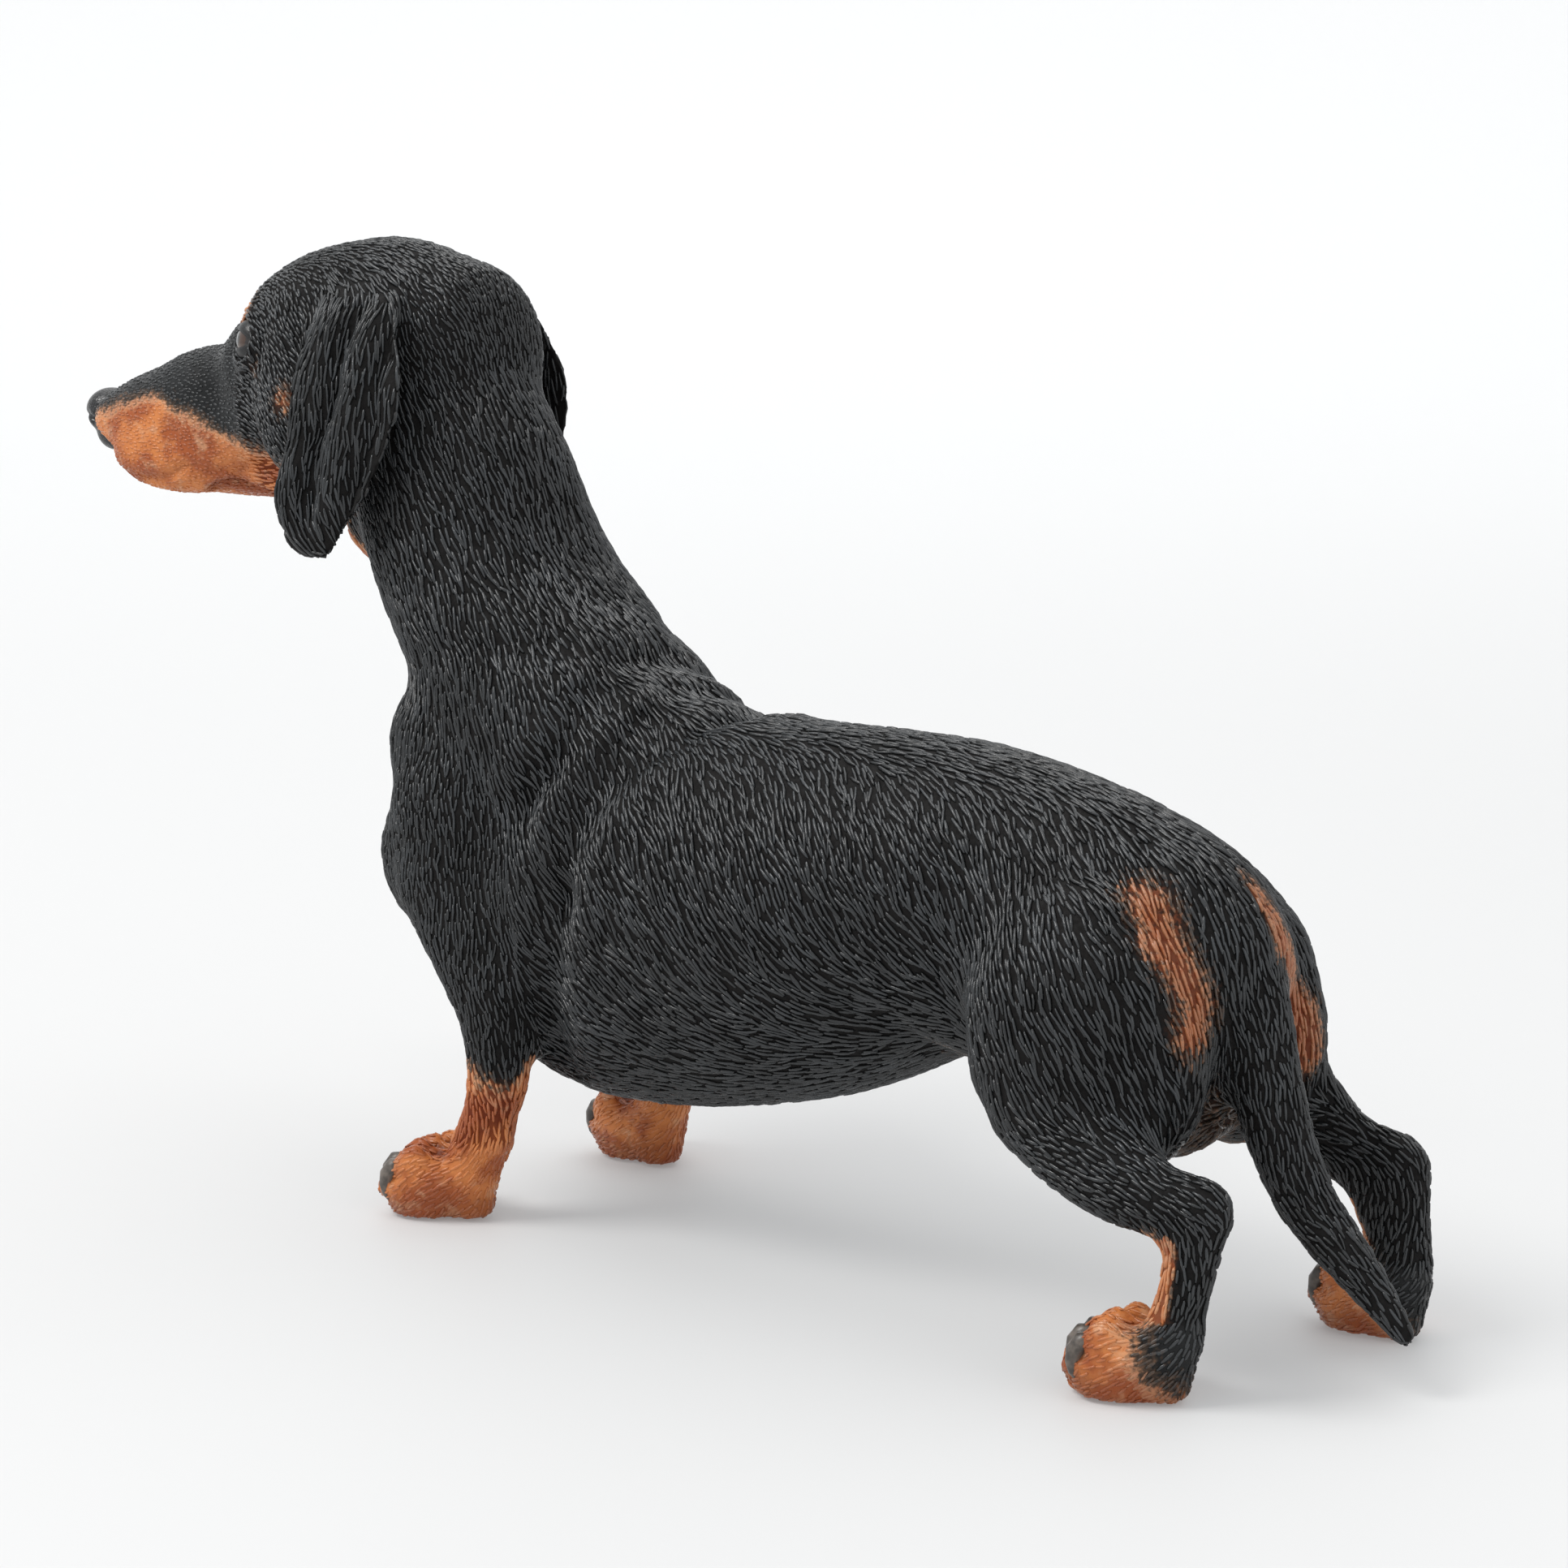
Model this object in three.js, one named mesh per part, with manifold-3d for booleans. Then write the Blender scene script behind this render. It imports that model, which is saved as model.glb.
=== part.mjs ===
// A painted resin figurine of a standing smooth-haired dachshund, about one sixth of life size.
// Lengths are in millimetres and angles in degrees. The dog is drawn in a frame of its own, with +X the way
// it faces, +Y its left and +Z up, x = 0 halfway between the fore and hind paws, and its paws on z = 0.
// The last lines move the group so that its origin is the middle of the footprint.
import * as THREE from "three";
import { mergeVertices } from "three/addons/utils/BufferGeometryUtils.js";
import Module from "manifold-3d";

const wasm = await Module();
wasm.setup();

// Driving dimensions.
const GAP = 0.3; // clearance kept between neighbouring pieces
const BACK_HEIGHT = 41; // top of the back above the floor
const CHEST_CLEARANCE = 9.5; // lowest point of the chest above the floor
const CHEST_HALF_WIDTH = 12.6;
const LOIN_HALF_WIDTH = 10.4;
const STANCE_FORE = 10.9; // a forepaw's distance from the middle plane
const STANCE_HIND = 11.3;
const HEAD_PIVOT = new THREE.Vector3(48, 0, 0); // the head turns about this upright line
const HEAD_YAW = 9; // the head looks a little to the dog's left
const NOSE_REACH = 37.3; // nose tip ahead of the pivot
const CROWN_HEIGHT = 76.7;
const EYE = { x: 13.6, y: 5.3, z: 68.0, radius: 1.8 };
const EAR_THICKNESS = 1.5;

const COLOURS = {
  coat: new THREE.MeshStandardMaterial({ color: 0x2a2c2e, roughness: 0.55, metalness: 0 }),
  tan: new THREE.MeshStandardMaterial({ color: 0xb5622e, roughness: 0.5, metalness: 0 }),
  nose: new THREE.MeshStandardMaterial({ color: 0x0d0d0e, roughness: 0.2, metalness: 0 }),
  eye: new THREE.MeshStandardMaterial({ color: 0x1a0f0a, roughness: 0.08, metalness: 0 }),
};

// Solids from three.js geometry, joined and cut.

function solidOf(geometry) {
  const bare = geometry.index ? geometry.toNonIndexed() : geometry.clone();
  bare.deleteAttribute("normal");
  bare.deleteAttribute("uv");
  const merged = mergeVertices(bare, 1e-4);
  return new wasm.Manifold(
    new wasm.Mesh({
      numProp: 3,
      vertProperties: merged.attributes.position.array,
      triVerts: new Uint32Array(merged.index.array),
    }),
  );
}

function geometryOf(solid) {
  const mesh = solid.getMesh();
  return new THREE.BufferGeometry()
    .setAttribute("position", new THREE.BufferAttribute(mesh.vertProperties, 3))
    .setIndex(new THREE.BufferAttribute(mesh.triVerts, 1));
}

const join = (...solids) => solids.reduce((whole, piece) => whole.add(piece));
const cut = (solid, ...cutters) => cutters.reduce((left, cutter) => left.subtract(cutter), solid);
const largest = (solid) => solid.decompose().sort((a, b) => b.volume() - a.volume())[0];
const radians = THREE.MathUtils.degToRad;

// A closed loft through stations { at: [x, y, z], wide, up, down }, the half sizes of an oval ring set square to
// the line through the stations. wide lies along side, up towards (direction of travel x side) and down away
// from it.
function loft(stations, options = {}) {
  const { steps = 20, around = 24, startCap = 1, endCap = 1, square = 2, grow = 0, capRings = 3 } = options;
  const side = options.side ?? new THREE.Vector3(0, 1, 0);
  const line = new THREE.CatmullRomCurve3(
    stations.map((s) => new THREE.Vector3(...s.at)),
    false,
    "catmullrom",
    0.5,
  );
  const sizes = new THREE.CatmullRomCurve3(
    stations.map((s) => new THREE.Vector3(s.wide, s.up, s.down)),
    false,
    "catmullrom",
    0.5,
  );
  const rings = [];
  const addRing = (t, along, shrink) => {
    const travel = line.getTangent(t);
    const across = side.clone().addScaledVector(travel, -side.dot(travel)).normalize();
    const above = new THREE.Vector3().crossVectors(travel, across);
    const size = sizes.getPoint(t).addScalar(grow).multiplyScalar(shrink);
    const middle = line.getPoint(t).addScaledVector(travel, along);
    rings.push({ across, above, size, middle });
  };
  for (let k = capRings - 1; k > 0; k--) {
    const angle = (Math.PI / 2) * (k / capRings);
    addRing(0, -(startCap + grow) * Math.sin(angle), Math.cos(angle));
  }
  for (let k = 0; k <= steps; k++) addRing(k / steps, 0, 1);
  for (let k = 1; k < capRings; k++) {
    const angle = (Math.PI / 2) * (k / capRings);
    addRing(1, (endCap + grow) * Math.sin(angle), Math.cos(angle));
  }
  const round = (value) => Math.sign(value) * Math.abs(value) ** (2 / square);
  const points = [];
  for (const ring of rings) {
    for (let j = 0; j < around; j++) {
      const angle = (2 * Math.PI * j) / around;
      const height = Math.sin(angle) > 0 ? ring.size.y : ring.size.z;
      points.push(
        ring.middle
          .clone()
          .addScaledVector(ring.across, ring.size.x * round(Math.cos(angle)))
          .addScaledVector(ring.above, height * round(Math.sin(angle))),
      );
    }
  }
  const startPole = points.length;
  points.push(line.getPoint(0).addScaledVector(line.getTangent(0), -(startCap + grow)));
  points.push(line.getPoint(1).addScaledVector(line.getTangent(1), endCap + grow));
  const faces = [];
  for (let j = 0; j < around; j++) {
    const next = (j + 1) % around;
    faces.push(startPole, next, j);
    for (let i = 0; i + 1 < rings.length; i++) {
      const low = i * around;
      const high = low + around;
      faces.push(low + j, low + next, high + next, low + j, high + next, high + j);
    }
    const last = (rings.length - 1) * around;
    faces.push(startPole + 1, last + j, last + next);
  }
  const geometry = new THREE.BufferGeometry().setFromPoints(points).setIndex(faces);
  return solidOf(geometry);
}

// An oval body with half sizes rx, ry and rz, turned about Y by tilt.
function oval([x, y, z], [rx, ry, rz], { tilt = 0, grow = 0, fine = 14 } = {}) {
  const geometry = new THREE.SphereGeometry(1, fine, Math.ceil(fine * 0.6));
  geometry.rotateX(Math.PI / 2).scale(rx + grow, ry + grow, rz + grow);
  return solidOf(geometry.rotateY(radians(tilt)).translate(x, y, z));
}

function box([x0, y0, z0], [x1, y1, z1]) {
  const geometry = new THREE.BoxGeometry(x1 - x0, y1 - y0, z1 - z0);
  return solidOf(geometry.translate((x0 + x1) / 2, (y0 + y1) / 2, (z0 + z1) / 2));
}

// A large block whose lower face passes through a point, tipped about Y.
function blockAbove([x, y, z], tilt, lift) {
  const reach = 120;
  const geometry = new THREE.BoxGeometry(reach, reach, reach).translate(0, 0, reach / 2 + lift);
  return solidOf(geometry.rotateY(radians(tilt)).translate(x, y, z));
}

// Torso.

function trunk(grow = 0) {
  const ring = (x, top, bottom, wide) => ({
    at: [x, 0, bottom + (top - bottom) * 0.52],
    wide,
    up: (top - bottom) * 0.48,
    down: (top - bottom) * 0.52,
  });
  return loft(
    [
      ring(-33.6, 32.2, 13.3, 6.8),
      ring(-30.0, 35.3, 12.5, 9.0),
      ring(-25.0, 37.8, 14.2, 10.4),
      ring(-18.0, 40.0, 17.4, LOIN_HALF_WIDTH),
      ring(-9.0, BACK_HEIGHT + 0.3, 17.8, LOIN_HALF_WIDTH + 0.6),
      ring(0.0, BACK_HEIGHT + 0.5, 14.2, CHEST_HALF_WIDTH - 0.4),
      ring(9.0, BACK_HEIGHT + 0.5, 11.2, CHEST_HALF_WIDTH),
      ring(18.0, BACK_HEIGHT + 0.9, CHEST_CLEARANCE, CHEST_HALF_WIDTH),
      ring(27.0, BACK_HEIGHT + 1.0, CHEST_CLEARANCE, CHEST_HALF_WIDTH - 0.4),
      ring(34.5, BACK_HEIGHT - 1.0, 12.8, 11.2),
      ring(40.6, 37.5, 18.8, 9.0),
      ring(44.6, 33.6, 23.4, 6.0),
    ],
    { steps: 20, around: 24, startCap: 2.4, endCap: 2.2, grow },
  );
}

// Neck.

const NECK_BASE = { at: [33, 0, 43.0], tilt: 8 };

function neckColumn(grow = 0) {
  const column = loft(
    [
      { at: [27.0, 0, 35.5], wide: 11.8, up: 10.5, down: 12.0 },
      { at: [35.0, 0, 45.0], wide: 10.6, up: 7.2, down: 11.4 },
      { at: [39.9, 0, 50.2], wide: 9.8, up: 8.2, down: 9.8 },
      { at: [43.3, 0, 55.2], wide: 9.2, up: 9.5, down: 9.0 },
      { at: [46.0, 0, 60.2], wide: 8.8, up: 9.2, down: 8.4 },
      { at: [49.0, 0, 66.0], wide: 8.2, up: 8.2, down: 8.0 },
    ],
    { steps: 12, around: 22, startCap: 4, endCap: 3, grow },
  );
  const breast = oval([37.2, 0, 36.2], [10.6, 11.4, 9.4], { grow });
  const throat = oval([49.4, 0, 54.6], [7.0, 6.2, 5.6], { fine: 12, grow });
  return join(column, breast, throat);
}

// Legs, drawn for the left side and mirrored for the right.

function shoulder(grow = 0) {
  return join(
    oval([35.2, 6.8, 29.5], [8.0, 6.2, 11.0], { tilt: 18, grow }),
    oval([39.4, 6.2, 27.5], [6.0, 5.4, 7.0], { tilt: 20, grow }),
  );
}

function foreleg(wristX, grow = 0) {
  return loft(
    [
      { at: [36.0, 8.4, 27.5], wide: 5.0, up: 6.0, down: 7.2 },
      { at: [30.8, 9.7, 20.5], wide: 4.1, up: 4.8, down: 5.2 },
      { at: [28.8, 10.5, 15.0], wide: 3.0, up: 3.4, down: 3.4 },
      { at: [wristX - 1.3, 10.9, 9.6], wide: 2.3, up: 2.3, down: 2.3 },
      { at: [wristX, STANCE_FORE, 6.0], wide: 2.8, up: 2.4, down: 2.4 },
    ],
    { steps: 10, around: 16, startCap: 3, endCap: 1.6, grow },
  );
}

function thigh(grow = 0) {
  const muscle = loft(
    [
      { at: [-25.0, 6.0, 31.0], wide: 4.8, up: 7.4, down: 6.6 },
      { at: [-26.0, 8.0, 25.5], wide: 5.3, up: 8.8, down: 9.4 },
      { at: [-26.0, 9.7, 19.4], wide: 4.3, up: 6.8, down: 5.8 },
    ],
    { steps: 7, around: 18, startCap: 2.4, endCap: 3.2, grow },
  );
  return join(muscle, oval([-29.0, 6.8, 22.0], [7.9, 5.1, 9.0], { grow }));
}

// The right hock is let down further than the left, which draws the hamstring out from the right buttock.
function shank(side, grow = 0) {
  const hockZ = side > 0 ? 13.9 : 13.2;
  const muscle = loft(
    [
      { at: [-24.8, 10.2, 19.2], wide: 3.9, up: 4.5, down: 4.5 },
      { at: [-30.4, 10.9, 15.8], wide: 3.3, up: 3.8, down: 3.7 },
      { at: [-36.4, 11.3, hockZ], wide: 2.5, up: 2.8, down: 2.7 },
      { at: [-40.6, STANCE_HIND, hockZ - 0.2], wide: 2.1, up: 2.3, down: 2.4 },
    ],
    { steps: 7, around: 14, startCap: 2, endCap: 1.5, grow },
  );
  if (side > 0) return muscle;
  const hamstring = loft(
    [
      { at: [-31.8, 8.6, 22.5], wide: 2.5, up: 2.5, down: 2.5 },
      { at: [-34.2, 9.4, 17.4], wide: 2.1, up: 2.1, down: 2.1 },
      { at: [-38.0, 10.9, 13.8], wide: 1.8, up: 1.8, down: 1.8 },
    ],
    { steps: 4, around: 12, startCap: 1.5, endCap: 1.2, grow },
  );
  return join(muscle, hamstring);
}

// The pastern drops from the hock to the ankle. The right hind paw stands further back than the left, and
// its pastern is the deeper one from front to back.
function pastern(side, hockX, ankleX) {
  const middle = THREE.MathUtils.lerp(hockX, ankleX, 0.55);
  const hockZ = side > 0 ? 14.2 : 13.2;
  const front = side > 0 ? 2.4 : 4.9;
  return loft(
    [
      { at: [hockX, STANCE_HIND, hockZ], wide: 2.0, up: front, down: 2.3 },
      { at: [middle, STANCE_HIND, 9.6], wide: 1.9, up: front - 0.4, down: 2.0 },
      { at: [ankleX, STANCE_HIND, 5.2], wide: 2.2, up: 2.2, down: 2.0 },
    ],
    { steps: 5, around: 12, startCap: 1.6, endCap: 1.6 },
  );
}

// A paw with its sole flat on the floor: the instep, a heel pad, a broad pad under the toes, and four toes
// with a claw each.
function paw({ x, y, turn, long, wide, high }) {
  const reach = (share) => x + long * share;
  const pieces = [
    loft(
      [
        { at: [reach(-0.02), y, high * 0.8], wide: wide * 0.56, up: 2.0, down: 2.4 },
        { at: [reach(0.24), y, high * 0.52], wide: wide * 0.8, up: 2.6, down: 3.4 },
        { at: [reach(0.6), y, high * 0.42], wide: wide * 0.9, up: 2.2, down: 2.6 },
      ],
      { steps: 4, around: 10, startCap: 1.6, endCap: 2 },
    ),
    oval([reach(0.12), y, 1.6], [2.3, wide * 0.6, 2.4], { fine: 8 }),
    oval([reach(0.6), y, 1.2], [3.9, wide * 0.9, 2.4], { fine: 12 }),
  ];
  for (const spread of [-0.72, -0.25, 0.25, 0.72]) {
    const toeY = y + wide * spread;
    const tip = reach(1 - 0.26 * spread ** 2);
    pieces.push(
      loft(
        [
          { at: [tip - 4.0, toeY, 4.2], wide: wide * 0.26, up: 2.2, down: 2.6 },
          { at: [tip - 2.0, toeY, 3.6], wide: wide * 0.29, up: 2.2, down: 3.0 },
          { at: [tip - 0.7, toeY, 2.3], wide: wide * 0.26, up: 1.9, down: 2.1 },
        ],
        { steps: 3, around: 9, startCap: 1, endCap: 0.8, capRings: 2 },
      ),
      loft(
        [
          { at: [tip - 1.2, toeY, 3.5], wide: 0.75, up: 0.9, down: 0.9 },
          { at: [tip + 0.5, toeY, 2.9], wide: 0.62, up: 0.75, down: 0.75 },
          { at: [tip + 1.1, toeY, 1.7], wide: 0.32, up: 0.36, down: 0.36 },
        ],
        { steps: 2, around: 6, startCap: 0.3, endCap: 0.3, capRings: 1 },
      ),
    );
  }
  const turned = join(...pieces)
    .translate([-x, -y, 0])
    .rotate([0, 0, turn])
    .translate([x, y, 0]);
  return cut(turned, box([-90, -90, -20], [120, 90, 0]));
}

const FOREPAW = { y: STANCE_FORE, turn: 16, long: 8.0, wide: 4.0, high: 7.2 };
const HINDPAW = { y: STANCE_HIND, turn: 13, long: 7.2, wide: 3.8, high: 6.4 };
const HOCK_X = { left: -40.5, right: -40.6 };
const ANKLE_X = { left: -38.2, right: -41.3 };
const WRIST_X = { left: 31.0, right: 32.2 };
const WRIST = 6.4;
const ANKLE = 5.8;

// Each leg's own oval plug in the side of the trunk.
function plug([x, z], [rx, rz], inner, tilt, grow) {
  const depth = 30;
  const geometry = new THREE.CylinderGeometry(1, 1, depth, 36).scale(rx + grow, 1, rz + grow);
  geometry.rotateY(radians(tilt)).translate(x, depth / 2 + inner - grow, z);
  return solidOf(geometry);
}
const forePlug = (grow) => plug([34.6, 25.8], [8.6, 12.0], 4.6, 16, grow);
const hindPlug = (grow) => plug([-25.0, 24.5], [9.6, 10.6], 4.6, 0, grow);

// Tail, hanging close behind the buttocks.

function tailCord(grow = 0) {
  return loft(
    [
      { at: [-29.5, 0, 32.9], wide: 3.1, up: 2.9, down: 2.9 },
      { at: [-33.2, 0, 30.6], wide: 2.9, up: 2.8, down: 2.8 },
      { at: [-35.6, 0, 26.4], wide: 2.8, up: 2.7, down: 2.7 },
      { at: [-37.1, 0, 19.6], wide: 2.7, up: 2.6, down: 2.6 },
      { at: [-40.2, 0, 12.8], wide: 2.3, up: 2.2, down: 2.2 },
      { at: [-44.8, 0, 8.4], wide: 1.8, up: 1.7, down: 1.7 },
      { at: [-48.8, 0, 4.6], wide: 0.9, up: 0.9, down: 0.9 },
    ],
    { steps: 16, around: 12, startCap: 2, endCap: 1.2, grow },
  );
}

// Head, drawn with its pivot at x = 0 and turned afterwards.

function skull(grow = 0) {
  const ring = (x, top, bottom, wide, level = 0.5) => ({
    at: [x, 0, bottom + (top - bottom) * level],
    wide,
    up: (top - bottom) * (1 - level),
    down: (top - bottom) * level,
  });
  return loft(
    [
      ring(-6.0, 75.0, 62.0, 6.8),
      ring(-1.0, 76.6, 58.0, 8.4),
      ring(4.5, CROWN_HEIGHT, 56.2, 9.0),
      ring(9.5, 75.4, 55.6, 8.8),
      ring(14.0, 71.5, 55.6, 6.7),
      ring(18.0, 68.0, 55.6, 5.5, 0.46),
      ring(22.0, 67.3, 55.6, 5.2, 0.42),
      ring(26.5, 66.2, 55.6, 4.8, 0.4),
      ring(31.0, 64.8, 57.2, 4.2, 0.42),
      ring(34.4, 63.3, 59.2, 3.2, 0.46),
    ],
    { steps: 17, around: 20, startCap: 2.6, endCap: 1.0, square: 2.2, grow },
  );
}

const flew = (side, grow = 0) =>
  oval([24.6, 3.0 * side, 58.0], [7.9, 2.2, 3.3], { tilt: -4, fine: 10, grow });
const brow = (side, grow = 0) => oval([11.8, 4.6 * side, 70.4], [2.9, 2.5, 2.0], { fine: 10, grow });
const cheek = (side, grow = 0) => oval([5.0, 6.4 * side, 62.4], [8.0, 3.4, 6.4], { fine: 12, grow });

function jaw(grow = 0) {
  return loft(
    [
      { at: [7.0, 0, 57.4], wide: 4.6, up: 2.2, down: 2.4 },
      { at: [15.0, 0, 57.0], wide: 3.9, up: 2.2, down: 2.4 },
      { at: [23.0, 0, 56.9], wide: 3.1, up: 2.0, down: 2.2 },
      { at: [30.4, 0, 57.4], wide: 2.2, up: 1.4, down: 1.6 },
    ],
    { steps: 8, around: 14, startCap: 2, endCap: 1.2, grow },
  );
}

function nose(grow = 0) {
  return join(
    oval([NOSE_REACH - 2.2, 0, 61.5], [2.2, 2.3, 1.9], { fine: 12, grow }),
    oval([NOSE_REACH - 2.6, 0, 59.9], [1.8, 1.5, 1.9], { fine: 10, grow }),
  );
}

function nostril(side) {
  return loft(
    [
      { at: [NOSE_REACH - 0.9, 1.0 * side, 61.3], wide: 0.42, up: 0.45, down: 0.45 },
      { at: [NOSE_REACH + 0.4, 1.6 * side, 61.5], wide: 0.5, up: 0.55, down: 0.55 },
    ],
    { steps: 2, around: 8, startCap: 0.3, endCap: 0.3, side: new THREE.Vector3(0, 0, 1) },
  );
}

// One ear: a leaf that hangs from the skull, bowed outwards.
function ear(side, grow = 0) {
  const half = EAR_THICKNESS / 2;
  return loft(
    [
      { at: [1.2, 6.7 * side, 74.0], wide: 3.0, up: half, down: half },
      { at: [0.3, 9.0 * side, 70.4], wide: 4.1, up: half, down: half },
      { at: [-0.4, 10.8 * side, 65.2], wide: 5.7, up: half, down: half },
      { at: [0.1, 11.8 * side, 60.2], wide: 5.0, up: half, down: half },
      { at: [1.7, 12.4 * side, 56.2], wide: 4.3, up: half, down: half },
      { at: [2.5, 12.5 * side, 52.5], wide: 2.8, up: half * 0.8, down: half * 0.8 },
    ],
    { steps: 10, around: 14, startCap: 1.2, endCap: 1.2, side: new THREE.Vector3(1, 0, 0), grow },
  );
}

function eyeball(side, grow = 0) {
  const radius = EYE.radius + grow;
  return oval([EYE.x, EYE.y * side, EYE.z], [radius, radius, radius], { fine: 10 });
}

const turnHead = (solid) =>
  solid.rotate([0, 0, HEAD_YAW]).translate(HEAD_PIVOT.toArray());

// The finished pieces.

const SIDES = { left: 1, right: -1 };
const sided = (solid, side) => (side > 0 ? solid : solid.mirror([0, 1, 0]));
const pieces = new Map();
const finish = (name, solid, material) => pieces.set(name, { solid: largest(solid), material });

const headMass = (grow) =>
  join(
    skull(grow),
    ...Object.values(SIDES).flatMap((side) => [flew(side, grow), brow(side, grow), cheek(side, grow)]),
  );
const headWhole = (grow) => turnHead(join(headMass(grow), jaw(grow)));

let headSolid = cut(headMass(0), jaw(GAP), nose(GAP));
for (const [name, side] of Object.entries(SIDES)) {
  headSolid = cut(headSolid, eyeball(side, GAP));
  finish(`eye_${name}`, turnHead(eyeball(side)), COLOURS.eye);
}
finish("head", turnHead(headSolid), COLOURS.coat);
finish("lower_jaw", turnHead(cut(jaw(), nose(GAP))), COLOURS.tan);
finish("nose", turnHead(cut(nose(), nostril(1), nostril(-1))), COLOURS.nose);

const legMuscles = (side) => sided(join(shoulder(), foreleg(WRIST_X.left), thigh(), shank(side)), side);
const bodyWhole = join(trunk(), neckColumn(), legMuscles(1), legMuscles(-1));
const trunkGrown = trunk(GAP);

for (const [name, side] of Object.entries(SIDES)) {
  const foreMass = sided(join(foreleg(WRIST_X[name]), paw({ ...FOREPAW, x: WRIST_X[name] })), side);
  const ankleX = ANKLE_X[name];
  const forePlugged = bodyWhole.intersect(sided(forePlug(0), side));
  const fore = join(cut(foreMass, trunkGrown), forePlugged);
  const hindFoot = join(pastern(side, HOCK_X[name], ankleX), paw({ ...HINDPAW, x: ankleX }));
  const hindMass = sided(join(shank(side), hindFoot), side);
  const hindPlugged = bodyWhole.intersect(sided(hindPlug(0), side));
  const hind = join(cut(hindMass, trunkGrown), hindPlugged);
  const below = (z) => box([-90, -90, -20], [120, 90, z]);
  finish(`foreleg_${name}`, cut(fore, below(WRIST + GAP / 2)), COLOURS.coat);
  finish(`forepaw_${name}`, fore.intersect(below(WRIST - GAP / 2)), COLOURS.tan);
  finish(`hindleg_${name}`, cut(hind, below(ANKLE + GAP / 2)), COLOURS.coat);
  finish(`hindpaw_${name}`, hind.intersect(below(ANKLE - GAP / 2)), COLOURS.tan);
}

const legClearance = join(
  ...Object.values(SIDES).flatMap((side) => [sided(forePlug(GAP), side), sided(hindPlug(GAP), side)]),
);
const rootMuscles = (side) =>
  sided(join(cut(shoulder(), foreleg(WRIST_X.left, GAP)), cut(thigh(), shank(side, GAP))), side);
const torsoAndNeck = cut(join(trunk(), neckColumn(), rootMuscles(1), rootMuscles(-1)), legClearance);
const neckBlock = (lift) => blockAbove(NECK_BASE.at, NECK_BASE.tilt, lift);
finish("torso", cut(torsoAndNeck, neckBlock(-GAP / 2)), COLOURS.coat);
finish("neck", cut(neckColumn().intersect(neckBlock(GAP / 2)), headWhole(GAP)), COLOURS.coat);
finish("tail", cut(tailCord(), trunkGrown), COLOURS.coat);

for (const [name, side] of Object.entries(SIDES)) {
  finish(`ear_${name}`, cut(turnHead(ear(side)), headWhole(GAP), neckColumn(GAP)), COLOURS.coat);
}

const dog = new THREE.Group();
for (const [name, { solid, material }] of pieces) {
  const geometry = geometryOf(solid);
  geometry.computeBoundingBox();
  const centre = geometry.boundingBox.getCenter(new THREE.Vector3());
  geometry.translate(-centre.x, -centre.y, -centre.z);
  const mesh = new THREE.Mesh(geometry, material);
  mesh.name = name;
  mesh.position.copy(centre);
  dog.add(mesh);
}
const footprint = new THREE.Box3().setFromObject(dog);
const middle = footprint.getCenter(new THREE.Vector3());
dog.position.set(-middle.x, -middle.y, -footprint.min.z);

const figurine = new THREE.Group();
figurine.add(dog);
export default figurine;
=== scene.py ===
"""A painted resin dachshund figurine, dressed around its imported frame.

The dog's own frame, used by every table below, is in millimetres: +X forward, +Y its left and +Z up, with
x = 0 halfway between the fore and hind paws. It is the row frame moved along X by PAW_MIDDLE. The head has
a frame of its own too, which is the dog's turned about the head's pivot.
"""

import math

import bmesh
import bpy
import numpy as np
from mathutils import Matrix, Vector
from mathutils.bvhtree import BVHTree


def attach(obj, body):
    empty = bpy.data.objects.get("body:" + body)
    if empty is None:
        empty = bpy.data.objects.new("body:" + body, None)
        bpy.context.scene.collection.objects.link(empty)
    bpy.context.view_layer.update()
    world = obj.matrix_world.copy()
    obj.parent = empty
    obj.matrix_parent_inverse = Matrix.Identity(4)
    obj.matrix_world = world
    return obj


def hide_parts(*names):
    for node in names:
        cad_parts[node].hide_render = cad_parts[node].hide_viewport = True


bl_info = {
    "name": "Dachshund figurine",
    "version": (1, 0, 0),
    "blender": (4, 5, 0),
    "location": "3D View > Sidebar > Dachshund",
    "description": "Builds the skin, carved hair, face and claws of a resin dachshund, and its stage",
    "category": "Object",
}

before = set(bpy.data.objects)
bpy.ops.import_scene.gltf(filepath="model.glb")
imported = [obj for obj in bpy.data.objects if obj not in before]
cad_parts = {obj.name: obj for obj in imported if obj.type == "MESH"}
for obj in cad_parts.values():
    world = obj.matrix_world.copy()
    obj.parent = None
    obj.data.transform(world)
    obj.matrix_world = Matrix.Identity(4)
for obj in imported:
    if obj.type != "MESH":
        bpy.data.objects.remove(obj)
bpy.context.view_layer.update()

PAW_MIDDLE = np.array([-17.49, 0.0, 0.0])
FLESH = (
    "torso neck head lower_jaw ear_left ear_right tail foreleg_left foreleg_right "
    "forepaw_left forepaw_right hindleg_left hindleg_right hindpaw_left hindpaw_right"
).split()

HEAD_PIVOT_X = 48.0
HEAD_YAW = math.radians(9)
EYE_PLACE = np.array([13.6, 5.3, 68.0])
EYE_RADIUS = 1.8
NOSE_REACH = 37.3
NOSE_GRAIN = 0.11

CAMERA_PLACE = np.array([-199.22, 222.72, 84.25])
CAMERA_AIM = np.array([0.6736, -0.7223, -0.1564])
PHOTO_SIDE = 1932.0
FOCAL_PIXELS = 5000.0

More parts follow.
